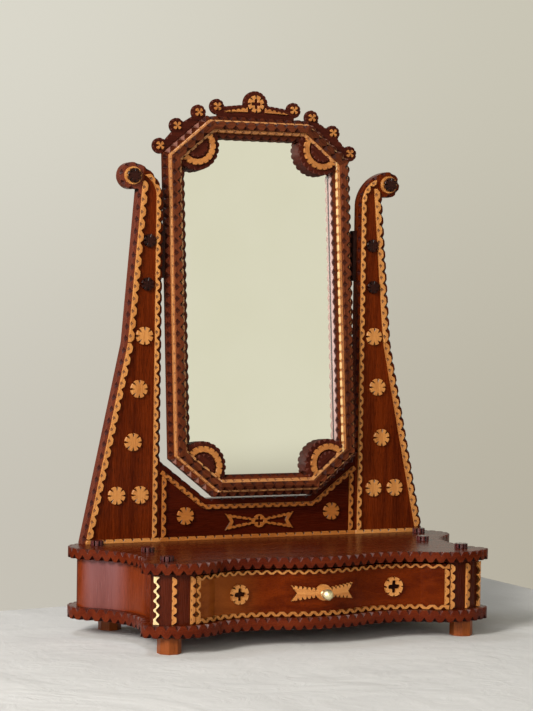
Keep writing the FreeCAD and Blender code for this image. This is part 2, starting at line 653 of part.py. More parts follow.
CORNER_WRAP = "Sizes.corner_radius + Sizes.strip_thick"
for side, sign in SIDES:
    corner_low = "-Sizes.corner_x - Sizes.strip_thick"
    if sign > 0:
        corner_low = "Sizes.corner_x - Sizes.corner_radius"
    half = "Sizes.pilaster_width / 2"
    first = f"{sign} * ({OPENING_HALF} + Sizes.pilaster_in)"
    runs = [("first", f"{first} - {half}", "Sizes.pilaster_width"),
            ("second", f"{first} + {sign} * Sizes.pilaster_spacing - {half}", "Sizes.pilaster_width"),
            ("corner", corner_low, CORNER_WRAP)]
    strips = []
    for name, low, width in runs:
        zone = skin_box(f"pilaster_zone_{name}_{side}", low, width, DRAWER_FLOOR, DRAWER_HIGH)
        strips.append(on_front(f"pilaster_{name}_{side}", zone, keep=False))
    grouped("pilaster_strips_" + side, strips)

RIBBON_LOW = f"{DRAWER_FLOOR} + Sizes.ribbon_width"
RIBBON_RUN = f"{DRAWER_HIGH} - 2 * Sizes.ribbon_width"
RIBBON_TOP = f"{DRAWER_FLOOR} + {DRAWER_HIGH} - Sizes.ribbon_width"


def ribbon_box(name, low_x, width, low_z, height):
    """Upright block as deep as the drawer front, for its edge ribbons."""
    return box(name, (low_x, f"-({DEEP})", low_z), (width, f"{DEEP}", height), keep=False)


ribbon_zones = [
    ribbon_box("ribbon_zone_bottom", f"-({DRAWER_HALF})", f"2 * ({DRAWER_HALF})", DRAWER_FLOOR,
               "Sizes.ribbon_width"),
    ribbon_box("ribbon_zone_top", f"-({DRAWER_HALF})", f"2 * ({DRAWER_HALF})", RIBBON_TOP,
               "Sizes.ribbon_width"),
    ribbon_box("ribbon_zone_left", f"-({DRAWER_HALF})", "Sizes.ribbon_width", RIBBON_LOW, RIBBON_RUN),
    ribbon_box("ribbon_zone_right", f"{DRAWER_HALF} - Sizes.ribbon_width", "Sizes.ribbon_width",
               RIBBON_LOW, RIBBON_RUN),
]
ribbons = [on_front(f"ribbon_{i}", zone, keep=False) for i, zone in enumerate(ribbon_zones)]
grouped("drawer_ribbons", ribbons)

ring_outlines = []
for _, sign in SIDES:
    x = sign * size("drawer_rosette_x")
    hole = Part.Circle(Vector(x, drawer_middle, 0), Vector(0, 0, 1), size("drawer_rosette_hole"))
    ring_outlines.append(petalled(x, drawer_middle, size("drawer_rosette_radius"), 1, 8) + [hole])
on_front("drawer_rosettes", plates("drawer_rosette_zone", ring_outlines, "0", DEEP, keep=False))
bow_curves = bow(drawer_middle, size("drawer_bow_half"), size("drawer_bow_tip"), size("drawer_bow_eye"))
bow_zone = plates("drawer_bow_zone", [bow_curves], "0", DEEP, keep=False)
bow_blank = on_front("drawer_bow_blank", bow_zone, keep=False)
boolean("Cut", "drawer_bowtie", bow_blank, screw_hole)

# ---------------------------------------------------------------- pivots
PLATE_THICK = "Sizes.frame_gap - Sizes.plate_gap"
PIVOT_Z = f"{BOARD_TOP} + Sizes.pivot_rise"
PIVOT_Y = "Sizes.post_front_y + Sizes.pivot_back"
pin_length = "Sizes.pin_in_post + Sizes.frame_gap + Sizes.pin_in_frame"
plate_bodies, pins = [], []
for side, sign in SIDES:
    low = "Sizes.post_inner - Sizes.frame_gap + Sizes.plate_gap" if sign > 0 else "-Sizes.post_inner"
    block = box(f"plate_block_{side}", (low, f"{PIVOT_Y} - Sizes.plate_depth / 2",
                                        f"{PIVOT_Z} - Sizes.plate_length / 2"),
                (PLATE_THICK, "Sizes.plate_depth", "Sizes.plate_length"), keep=False)
    start = -size("post_inner") - size("pin_in_post")
    if sign > 0:
        start = frame_half_width - size("pin_in_frame")
    place = Placement(Vector(start, pivot_y, pivot_height), ALONG_X)
    hole = cylinder(f"plate_hole_{side}", "Sizes.pin_radius + Sizes.fit_gap", pin_length, place)
    plate_bodies.append(boolean("Cut", f"plate_{side}", block, hole, keep=False))
    pins.append(cylinder(f"pin_{side}", "Sizes.pin_radius", pin_length, place))
grouped("pivot_plates", plate_bodies)
grouped("pivot_pins", pins)

# ---------------------------------------------------------------- mirror, in its own frame
# Local origin on the pivot axis, local +Z up the frame, local -Y out of the glass.
mirror_place = Placement(Vector(0, pivot_y, pivot_height), Rotation(Vector(1, 0, 0), -size("tilt")))
FACE = "-Sizes.pin_below_face"
BASE_BACK = "Sizes.base_layer - Sizes.pin_below_face"
glass_inset = size("member_width") - size("glass_rebate")


def tilted(obj):
    """Set a mirror piece into its place between the posts."""
    obj.Placement = mirror_place
    return obj


def frame_outline(inset):
    """Corners of the frame's outline moved inwards, in local (x, z), from the right side's top."""
    wide, tall = frame_half_width - inset, size("frame_half_height") - inset
    clip_x, clip_z = size("clip_x"), size("clip_z")
    reach = frame_half_width * clip_z + (size("frame_half_height") - clip_z) * clip_x
    reach -= inset * math.hypot(clip_x, clip_z)
    quarter = [(wide, (reach - wide * clip_z) / clip_x), ((reach - tall * clip_x) / clip_z, tall)]
    upper = quarter + [(-x, z) for x, z in reversed(quarter)]
    ring = upper + [(-x, -z) for x, z in upper]
    return [(x, z + frame_middle) for x, z in ring]


def members(inset, width):
    """Eight mitred members of one frame layer."""
    outer, inner = frame_outline(inset), frame_outline(inset + width)
    return [closed_lines([outer[i - 1], outer[i], inner[i], inner[i - 1]]) for i in range(8)]


def ring_outline(outer, inner):
    return closed_lines(frame_outline(outer)) + closed_lines(frame_outline(inner))


base_blank = plates("base_members", members(0, size("member_width")), BASE_BACK, "Sizes.base_layer",
                    keep=False)
tilted(plates("frame_middle_layer", members(size("middle_inset"), size("middle_width")), FACE,
              "Sizes.middle_layer"))
tilted(plates("frame_top_layer", members(size("top_inset"), size("top_width")),
              FACE + " - Sizes.middle_layer", "Sizes.top_layer"))
tilted(plates("glass", [closed_lines(frame_outline(glass_inset))], BASE_BACK + " + Sizes.glass_thick",
              "Sizes.glass_thick"))
rebate_inset = glass_inset - size("glass_gap")
back_frame_blank = plates("back_frame_blank", [ring_outline(size("back_inset"), rebate_inset)],
                          BASE_BACK + " + Sizes.glass_thick", "Sizes.glass_thick", keep=False)
backboard_blank = plates("backboard_blank", [closed_lines(frame_outline(size("back_inset")))],
                         BASE_BACK + " + Sizes.glass_thick + Sizes.backboard_thick",
                         "Sizes.backboard_thick", keep=False)

# screws round the edge of the backboard, through the back frame into the front frame
screw_inset = (size("back_inset") + rebate_inset) / 2
board_back_y = (size("base_layer") - size("pin_below_face") + size("glass_thick") + size("backboard_thick"))
side_x = frame_half_width - screw_inset
end_z = size("frame_half_height") - screw_inset
spacing = size("back_screw_spacing") / 2
screw_spots = [(sign * side_x, turn * spacing) for _, sign in SIDES for turn in (-1, 1)]
screw_spots += [(0, -end_z), (0, end_z)]
screws, screw_holes = [], []
for number, (x, z) in enumerate(screw_spots, start=1):
    at = Vector(x, board_back_y, z + frame_middle)
    over = at + Vector(0, size("screw_head_thick"), 0)
    shank = cylinder(f"back_shank_{number}", "Sizes.back_screw_radius", "Sizes.back_screw_length",
                     Placement(at, FACING_FRONT))
    cap = cylinder(f"back_cap_{number}", "Sizes.back_screw_head", "Sizes.screw_head_thick",
                   Placement(over, FACING_FRONT))
    screws.append(fused(f"back_screw_{number}", [shank, cap], keep=False))
    screw_holes.append(cylinder(f"back_hole_{number}", "Sizes.back_screw_radius + Sizes.fit_gap",
                                "Sizes.back_screw_length + Sizes.fit_gap", Placement(at, FACING_FRONT)))
tilted(grouped("backboard_screws", screws))
hole_group = grouped("back_holes", screw_holes, keep=False)
tilted(boolean("Cut", "back_frame", back_frame_blank, hole_group))
tilted(boolean("Cut", "backboard", backboard_blank, hole_group))

pin_holes = []
for side, sign in SIDES:
    start = frame_half_width - size("pin_in_frame") - size("fit_gap") if sign > 0 else -frame_half_width
    place = Placement(Vector(start, 0, 0), ALONG_X)
    pin_holes.append(cylinder(f"frame_hole_{side}", "Sizes.pin_radius + Sizes.fit_gap",
                              "Sizes.pin_in_frame + Sizes.fit_gap", place))
all_holes = grouped("frame_holes", screw_holes + pin_holes, keep=False)
tilted(boolean("Cut", "frame_base_layer", base_blank, all_holes))

# ---------------------------------------------------------------- corner brackets
field_inset = size("middle_inset") + size("middle_width")
field = frame_outline(field_inset)
corner_pairs = [(field[0], field[1]), (field[2], field[3]), (field[4], field[5]), (field[6], field[7])]
bracket_spots = [((a[0] + b[0]) / 2, (a[1] + b[1]) / 2) for a, b in corner_pairs]
BRACKET_FRONT = f"{FACE} - Sizes.bracket_lift"
disc_outlines = [petalled(x, z, size("bracket_radius"), 1, 24) for x, z in bracket_spots]
bracket_discs = plates("bracket_discs", disc_outlines, BASE_BACK, "Sizes.base_layer + Sizes.bracket_lift",
                       keep=False)
bracket_field = plates("bracket_field", [closed_lines(field)], BASE_BACK,
                       "Sizes.base_layer + Sizes.bracket_lift + Sizes.bracket_ring_thick", keep=False)
bracket_blank = boolean("Common", "bracket_blank", bracket_discs, bracket_field, keep=False)
tilted(boolean("Cut", "corner_brackets", bracket_blank, base_blank))
ring_holes = size("bracket_ring_radius") - size("bracket_ring_width")
half_rings = [petalled(x, z, size("bracket_ring_radius"), 1, 20)
              + [Part.Circle(Vector(x, z, 0), Vector(0, 0, 1), ring_holes)] for x, z in bracket_spots]
ring_blank = plates("ring_blank", half_rings, BRACKET_FRONT, "Sizes.bracket_ring_thick", keep=False)
tilted(boolean("Common", "bracket_rings", ring_blank, bracket_field))

# ---------------------------------------------------------------- crest
CREST_FRONT = BASE_BACK + " - Sizes.crest_thick"
frame_top = size("frame_half_height") + frame_middle
end_spots = [(sign * size("crest_end_x"), frame_top + size("crest_end_rise")) for _, sign in SIDES]


def disc(x, z, radius):
    return [Part.Circle(Vector(x, z, 0), Vector(0, 0, 1), radius)]


end_x, web_end = size("crest_end_x"), frame_top + size("crest_web_end")
web = closed_lines([(-end_x, frame_top), (end_x, frame_top), (end_x, web_end),
                    (0, frame_top + size("crest_web_rise")), (-end_x, web_end)])
centre_outlines = [disc(0, frame_top + size("crest_rise"), size("crest_radius")), web]
centre_outlines += [disc(x, z, size("crest_disc")) for x, z in end_spots]
centre_pieces = [plates(f"crest_centre_piece_{i}", [curves], BASE_BACK, "Sizes.crest_thick", keep=False)
                 for i, curves in enumerate(centre_outlines)]
tilted(fused("crest_centre", centre_pieces))

slant = math.hypot(size("clip_x"), size("clip_z"))
along = (size("clip_x") / slant, -size("clip_z") / slant)
outward = (size("clip_z") / slant, size("clip_x") / slant)
slant_start = frame_outline(0)[1]


def by_slant(distance, out):
    """Local (x, z) of a spot along the right-hand clipped corner and out from it."""
    return (slant_start[0] + along[0] * distance + outward[0] * out,
            slant_start[1] + along[1] * distance + outward[1] * out)


disc_in, disc_out = size("corner_disc_in"), size("corner_disc_out")
corner_spots = [by_slant(disc_in, disc_out), by_slant(slant / 2, size("corner_middle_out")),
                by_slant(slant - disc_in, disc_out)]
corner_web = [by_slant(disc_in, 0), by_slant(slant - disc_in, 0)] + corner_spots[::-1]
for side, sign in SIDES:
    outlines = [closed_lines([(sign * x, z) for x, z in corner_web])]
    outlines += [disc(sign * x, z, size("crest_disc")) for x, z in corner_spots]
    pieces = [plates(f"crest_corner_{side}_piece_{i}", [curves], BASE_BACK, "Sizes.crest_thick", keep=False)
              for i, curves in enumerate(outlines)]
    corner_blank = fused("crest_corner_blank_" + side, pieces, keep=False)
    tilted(boolean("Cut", "crest_corner_" + side, corner_blank, base_blank))

cross_spots = end_spots + [(sign * x, z) for _, sign in SIDES for x, z in corner_spots]
tilted(plates("crest_crosses", [petalled(x, z, size("cross_radius"), size("cross_depth"), 4)
                                for x, z in cross_spots], CREST_FRONT, "Sizes.crest_applied"))
tilted(plates("crest_rosette", [rosette(0, frame_top + size("crest_rise"))], CREST_FRONT,
              "Sizes.crest_applied"))
wedge_z = frame_top + size("wedge_rise")
wedges = [closed_lines([(sign * size("wedge_start"), wedge_z), (sign * size("wedge_end"), wedge_z),
                        (sign * size("wedge_start"), wedge_z + size("wedge_width"))])
          for _, sign in SIDES]
tilted(plates("crest_wedges", wedges, CREST_FRONT, "Sizes.crest_applied"))

doc.recompute()
for obj in doc.Objects:
    if "Invalid" in obj.State or "Error" in obj.State:
        raise RuntimeError(f"{obj.Label} did not build: {obj.State}")
os.makedirs("parts", exist_ok=True)
for obj in parts:
    if obj.Shape.isNull() or not obj.Shape.isValid():
        raise RuntimeError(f"{obj.Label} has no valid shape")
    obj.Shape.exportStep(f"parts/{obj.Label}.step")
    print(obj.Label, len(obj.Shape.Solids), round(obj.Shape.Volume))
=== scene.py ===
"""Looks of a vanity mirror with a drawer, in notched-strip work: a tilting octagonal frame between two
posts on a shaped box.  Pieces are carved in millimetres and set in place in metres."""
import math
import random

import bmesh
import bpy
from mathutils import Euler, Matrix, Vector


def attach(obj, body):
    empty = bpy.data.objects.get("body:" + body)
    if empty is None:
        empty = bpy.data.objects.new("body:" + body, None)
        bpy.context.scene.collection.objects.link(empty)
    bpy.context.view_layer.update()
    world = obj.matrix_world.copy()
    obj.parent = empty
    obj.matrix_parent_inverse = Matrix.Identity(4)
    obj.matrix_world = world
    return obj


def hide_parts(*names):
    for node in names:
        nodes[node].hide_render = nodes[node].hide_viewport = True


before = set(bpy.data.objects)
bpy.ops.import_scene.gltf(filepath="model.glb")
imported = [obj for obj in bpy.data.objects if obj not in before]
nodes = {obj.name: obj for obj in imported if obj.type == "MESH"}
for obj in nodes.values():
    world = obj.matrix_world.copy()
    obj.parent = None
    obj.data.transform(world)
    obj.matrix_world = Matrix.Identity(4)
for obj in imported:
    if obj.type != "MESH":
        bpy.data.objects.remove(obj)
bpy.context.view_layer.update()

# ---------------- camera
# A long lens at the height of the mirror's lower half, well round to its left.
camera_data = bpy.data.cameras.new("camera")
camera_data.lens, camera_data.sensor_width = 106.33, 36
camera_data.clip_start, camera_data.clip_end = 0.1, 50
camera = bpy.data.objects.new("camera", camera_data)
bpy.context.scene.collection.objects.link(camera)
look_down, look_right, roll = math.radians(1.98), math.radians(24.49), math.radians(0.87)
camera_turn = Euler((math.pi / 2 - look_down, 0, -look_right)).to_matrix().to_4x4()
camera.matrix_world = (Matrix.Translation((-1.080, -2.304, 0.423)) @ camera_turn
                       @ Matrix.Rotation(roll, 4, "Z"))
bpy.context.scene.camera = camera
bpy.context.scene.view_settings.view_transform = "Standard"


# ---------------- table, wall light and lamps
# A white cloth on a table, a pale grey-green wall far behind, lamps for a broad window on the left,
# and a painted room that only reflections see.
class Reading:
    """One number of a finish as it changes over a piece; sums on it add Math nodes."""

    def __init__(self, finish, socket):
        self.finish, self.socket = finish, socket

    def sum_of(self, operation, *terms):
        return self.finish.node("Math", {"operation": operation}, dict(enumerate(terms)))[0]

    def __add__(self, other):
        return self.sum_of("ADD", self, other)

    def __sub__(self, other):
        return self.sum_of("SUBTRACT", self, other)

    def __rsub__(self, other):
        return self.sum_of("SUBTRACT", other, self)

    def __mul__(self, other):
        return self.sum_of("MULTIPLY", self, other)

    def between(self, low, high):
        """0 below low, 1 above high, smooth from one to the other."""
        return self.finish.node("MapRange", {"interpolation_type": "SMOOTHSTEP"},
                                {"Value": self, "From Min": low, "From Max": high})[0]

    __radd__, __rmul__ = __add__, __mul__


class Finish:
    """A tree of shader nodes under construction."""

    def __init__(self, tree):
        self.nodes, self.links = tree.nodes, tree.links

    def node(self, kind, settings, sockets):
        """Any node: its type, then its settings, then the values or links of its sockets."""
        made = self.nodes.new("ShaderNode" + kind)
        for name, value in settings.items():
            setattr(made, name, value)
        for name, value in sockets.items():
            self.feed(made.inputs[name], value)
        return [Reading(self, socket) for socket in made.outputs]

    def feed(self, socket, value):
        if isinstance(value, Reading):
            self.links.new(value.socket, socket)
        elif isinstance(value, tuple) and len(value) == 3 and socket.type == "RGBA":
            socket.default_value = (*value, 1)
        else:
            socket.default_value = value

    def shade(self, socket, value):
        """A socket of the Principled shader, by a plain number or as it changes over the piece."""
        self.feed(self.nodes["Principled BSDF"].inputs[socket], value)

    def mix(self, share, first, second):
        return self.node("Mix", {"data_type": "RGBA"}, {0: share, 6: first, 7: second})[2]

    def noise(self, where, scale, detail, distortion=0.0):
        sockets = {"Vector": where, "Scale": scale, "Detail": detail, "Distortion": distortion}
        return self.node("TexNoise", {}, sockets)[0]

    def on_piece(self):
        """Object coordinates, in metres."""
        return self.node("TexCoord", {}, {})[3]


def surface(name, constants):
    """A Principled material with plain numbers on its sockets."""
    material = bpy.data.materials.new(name)
    material.use_nodes = True
    finish = Finish(material.node_tree)
    for socket, value in constants.items():
        finish.shade(socket, value)
    return material, finish


def lamp(name, place, target, across, power, colour):
    data = bpy.data.lights.new(name, "AREA")
    data.shape, data.size, data.energy, data.color = "SQUARE", across, power, colour
    made = bpy.data.objects.new(name, data)
    bpy.context.scene.collection.objects.link(made)
    made.location = place
    made.rotation_euler = (Vector(target) - Vector(place)).to_track_quat("-Z", "Y").to_euler()


cloth = bmesh.new()
corners = [(0.470, 0.342), (-2.030, 0.064), (-1.887, -2.936), (0.613, -2.658)]
cloth.faces.new([cloth.verts.new((x, y, 0)) for x, y in corners])
cloth_mesh = bpy.data.meshes.new("table_cloth")
cloth.to_mesh(cloth_mesh)
table_cloth = bpy.data.objects.new("table_cloth", cloth_mesh)
bpy.context.scene.collection.objects.link(table_cloth)
material, finish = surface("white_cloth", {"Roughness": 0.9, "Specular IOR Level": 0.2})
where = finish.on_piece()
folds, creases = finish.noise(where, 5.0, 3.0, 1.2), finish.noise(where, 28.0, 4.0, 2.0)
finish.shade("Base Color", finish.mix(folds, (0.62, 0.612, 0.598), (0.73, 0.722, 0.702)))
waves = finish.node("Bump", {}, {"Strength": 1.0, "Distance": 0.006,
                                 "Height": folds + creases * 0.16})[0]
finish.shade("Normal", waves)
cloth_mesh.materials.append(material)

world = bpy.data.worlds.new("room")
bpy.context.scene.world = world
world.use_nodes = True
finish = Finish(world.node_tree)
across, depth, height = finish.node("SeparateXYZ", {}, {0: finish.node("TexCoord", {}, {})[0]})
rise, far = height.between(-0.14, 0.14), across.between(0.26, 0.56)
near_wall = finish.mix(rise, (0.570, 0.540, 0.470), (0.708, 0.687, 0.600))
far_wall = finish.mix(rise, (0.465, 0.430, 0.345), (0.578, 0.552, 0.455))
backdrop = finish.mix(far, near_wall, far_wall)
wall = finish.mix(across.between(0.10, 0.24), (0.13, 0.10, 0.08), backdrop)
opposite = finish.mix(height.between(0.04, 0.09), (0.10, 0.07, 0.05), (0.80, 0.78, 0.64))
room = finish.mix(depth.between(-0.1, 0.1), opposite, wall)
window = across.between(-0.74, -0.86) * depth.between(0.12, 0.0) * depth.between(-0.62, -0.50)
room = finish.mix(window, room, (1.20, 1.22, 1.32))
sash = across.between(-0.33, -0.40) * across.between(-0.64, -0.57) * height.between(0.05, 0.09)
sash = sash * height.between(0.36, 0.28) * depth.between(-0.5, -0.6)
room = finish.mix(sash, room, (5.0, 4.9, 4.7))
ceiling = height.between(0.35, 0.75) * across.between(-0.55, -0.15)
room = finish.mix(ceiling, room, (0.07, 0.065, 0.06))
path = finish.node("LightPath", {}, {})
seen = path[0] + path[3] + path[5]
room = finish.mix(seen, (0.212, 0.213, 0.219), room)
background = finish.nodes["Background"]
finish.feed(background.inputs["Color"], finish.mix(path[0], room, backdrop))
background.inputs["Strength"].default_value = 1.0

lamp("window", (-2.6, -1.5, 1.6), (0, 0, 0.3), 0.95, 107, (1.0, 0.97, 0.93))
lamp("window_beside", (-1.5, -2.7, 1.0), (0, 0, 0.4), 0.8, 10, (1.0, 0.97, 0.95))
lamp("skylight", (-0.7, 0.6, 2.5), (0, 0, 0.3), 0.6, 12, (0.86, 0.92, 1.0))

# ---------------- feet
# Four short octagonal blocks of a lighter wood, sawn across the grain and left with sharp arrises,
# glued under the bottom board.
def scaled(colour, share):
    return tuple(channel * share for channel in colour)


def wood(name, dark, light, axis=None, shine=0.3, gloss=0.2, pores=0.6, chip=None, coat=0.0,
         hollow=0.12, bright=(0.21, 0.088, 0.062), patina=None):
    """Varnished wood.  Its figure runs along the carved "grain" of a piece, or along an object axis.
    Facets of notches are chip-coloured, on most woods darker: a painted shade in the notches.  Facets
    marked 2 take the bright colour, a painted highlight, and walls of deep cuts are painted dark as
    shade.  The patina changes the colour over the piece."""
    made, finish = surface(name, {"Specular IOR Level": gloss, "Coat Roughness": 0.28, "Coat IOR": 1.6})
    if axis is None:
        where, unit = finish.node("Attribute", {"attribute_name": "grain"}, {})[1], 1.0
        axis = "X"
    else:
        where, unit = finish.on_piece(), 1000.0
    stretch = Vector([0.05 if letter == axis else 1.0 for letter in "XYZ"]) * unit
    along = finish.node("Mapping", {}, {"Vector": where, "Scale": stretch})[0]
    figure = finish.noise(along, 0.07, 3.0, 0.8)
    fibre = finish.noise(along, 1.1, 2.0)
    pore = finish.noise(along, 2.3, 1.0).between(0.56, 0.72)
    tone = figure.between(0.30, 0.70) * 0.65 + fibre.between(0.3, 0.7) * 0.35
    colour = finish.mix(tone, dark, light)
    colour = finish.mix(pore * pores, colour, scaled(dark, 0.35))
    if patina:
        spot = finish.node("SeparateXYZ", {}, {0: finish.on_piece()})
        colour = patina(finish, spot, tone, colour)
    cut = finish.node("Attribute", {"attribute_name": "cut"}, {})[2]
    # Painted shade in the notch facets.
    colour = finish.mix(cut * 0.85, colour, chip or scaled(dark, 0.25))
    deep = finish.node("Attribute", {"attribute_name": "deep"}, {})[2]
    # Painted shade on the walls of deep cuts.
    colour = finish.mix(deep * 0.9, colour, scaled(dark, hollow))
    # Painted highlight on facets marked 2.
    colour = finish.mix(cut.between(1.4, 1.8) * 0.9, colour, bright)
    finish.shade("Base Color", colour)
    finish.shade("Coat Weight", cut * coat)
    finish.shade("Roughness", fibre * 0.16 + cut * 0.25 + (shine - 0.08))
    dent = finish.node("Bump", {}, {"Strength": 0.25, "Distance": 0.0001,
                                    "Height": fibre - pore * 0.6})[0]
    finish.shade("Normal", dent)
    return made


def rub_down(piece, arris):
    """Take the sharpness off a piece's edges; the arris is in mm."""
    rubbed = piece.modifiers.new("rubbed", "BEVEL")
    rubbed.width, rubbed.segments, rubbed.angle_limit = arris / 1000, 1, math.radians(35)


def dress(names, material, arris=None):
    """Give CAD pieces their finish and, where an arris is named in mm, rub their edges down a little."""
    for name in names:
        piece = nodes[name]
        piece.data.materials.clear()
        piece.data.materials.append(material)
        if arris:
            joined = piece.modifiers.new("joined", "WELD")
            joined.merge_threshold = 0.00001
            rub_down(piece, arris)


foot_wood = wood("foot_wood", (0.170, 0.036, 0.005), (0.285, 0.070, 0.011), axis="Z", shine=0.4)
dress(["foot_front_left", "foot_front_right", "foot_back_left", "foot_back_right"], foot_wood, 0.4)


# ---------------- bottom and top boards
# Two mahogany boards of the same serpentine plan.  Each edge is V-notched with a knife at 45 degrees,
# along the upper and the lower arris in turn, half a pitch apart.
FLAT = Matrix.Scale(0.001, 4)


def area(loop):
    return sum(a.x * b.y - b.x * a.y for a, b in zip(loop, loop[1:] + loop[:1])) / 2


def outlines(node, place, level):
    """Closed outlines of a solid where the plane at that level of a place cuts it, in mm: the largest
    first, each anticlockwise from its leftmost spot, so that notches fall the same way every time."""
    cut = bmesh.new()
    cut.from_mesh(nodes[node].data)
    bmesh.ops.transform(cut, matrix=place.inverted(), verts=cut.verts)
    bmesh.ops.remove_doubles(cut, verts=cut.verts, dist=0.004)
    bmesh.ops.bisect_plane(cut, geom=cut.verts[:] + cut.edges[:] + cut.faces[:], plane_co=(0, 0, level),
                           plane_no=(0, 0, 1), clear_inner=True, clear_outer=True)
    bmesh.ops.remove_doubles(cut, verts=cut.verts, dist=0.004)
    loops, left = [], set(cut.edges)
    while left:
        edge = left.pop()
        start, spot = edge.verts
        loop = [start.co.xy.copy()]
        while spot is not start:
            loop.append(spot.co.xy.copy())
            edge = next(other for other in spot.link_edges if other in left)
            left.discard(edge)
            spot = edge.other_vert(spot)
        if area(loop) < 0:
            loop.reverse()
        first = loop.index(min(loop, key=lambda spot: (round(spot.x, 2), round(spot.y, 2))))
        loops.append(loop[first:] + loop[:first])
    cut.free()
    return sorted(loops, key=area, reverse=True)


class Way:
    """An open line of points that can be asked for the spot at any distance along it."""

    def __init__(self, points):
        self.points = [Vector(point) for point in points]
        self.marks = [0.0]
        for a, b in zip(self.points, self.points[1:]):
            self.marks.append(self.marks[-1] + (b - a).length)
        self.length = self.marks[-1]

    def at(self, distance):
        """Spot and left-hand normal."""
        step = 1
        while step < len(self.marks) - 1 and self.marks[step] < distance:
            step += 1
        a, b = self.points[step - 1], self.points[step]
        ahead = (b - a).normalized()
        return a + ahead * (distance - self.marks[step - 1]), Vector((-ahead.y, ahead.x))

    def eased(self, distance, reach):
        """Spot, and the normal between two spots a little before and after it."""
        before = self.at(max(0, distance - reach))[0]
        after = self.at(min(self.length, distance + reach))[0]
        ahead = (after - before).normalized()
        return self.at(distance)[0], Vector((-ahead.y, ahead.x))


def uncut(spots):
    """Columns of an outline whose wall keeps its full height: spot, way into the wood, no pulls."""
    return [(Vector(spot), Vector((0, 0)), 0, 0) for spot in spots]


UNDER_SHARE = 0.62


def cut_run(run, pitch, deep, share=0.5, under=0.0, through=0.0, whole=False, late=False):
    """Columns of whole notches along a line, its last point left out: spot, way into the wood on the
    left, pull at the upper rim and pull at the lower rim.  Unless the line is whole its ends stay
    uncut; late notches stand half a pitch further on."""
    way = Way(run)
    turns = max(1, round(way.length / pitch))
    step = way.length / turns
    parts = {0.0, share / 2, 1 - share / 2} if late else {0.0, 0.5 - share / 2, 0.5, 0.5 + share / 2}
    if under:
        parts |= {UNDER_SHARE / 2, 1 - UNDER_SHARE / 2}
    columns = []
    for k in range(turns):
        for part in sorted(parts):
            spot, into = way.eased((k + part) * step, step / 8)
            early, lower = abs(part - 0.5), min(part, 1 - part)
            upper = max(0, 1 - (lower if late else early) * 2 / share)
            lower = max(0, 1 - lower * 2 / UNDER_SHARE)
            if not whole and (k + (part > 0.5)) % turns == 0:
                lower, upper = 0, 0 if late else upper
            columns.append((spot + into * through * upper, into, deep * upper, under * lower))
    return columns


def notched(loop, pitch, deep, share=0.5, under=0.0, plain=None, breaks=()):
    """Columns round an outline, cut from corner to corner; runs whose middle is plain stay whole."""
    if area(loop) < 0:
        loop = loop[::-1]
    for extra in breaks:
        gaps = [(extra - a).length + (extra - b).length - (b - a).length
                for a, b in zip(loop, loop[1:] + loop[:1])]
        place = gaps.index(min(gaps)) + 1
        loop = loop[:place] + [extra] + loop[place:]
    count = len(loop)
    corners = []
    for i, spot in enumerate(loop):
        before, after = spot - loop[i - 1], loop[(i + 1) % count] - spot
        broken = any((spot - extra).length < 0.3 for extra in breaks)
        if broken or abs(before.angle_signed(after)) > math.radians(26):
            corners.append(i)
    runs = [loop + loop[:1]]
    if corners:
        ends = corners[1:] + [corners[0] + count]
        runs = [[loop[i % count] for i in range(a, b + 1)] for a, b in zip(corners, ends)]
    columns = []
    for run in runs:
        way = Way(run)
        if way.length < pitch / 2 or (plain and plain(way.at(way.length / 2)[0])):
            columns += uncut(run[:-1])
        else:
            columns += cut_run(run, pitch, deep, share, under, whole=not corners)
    return columns


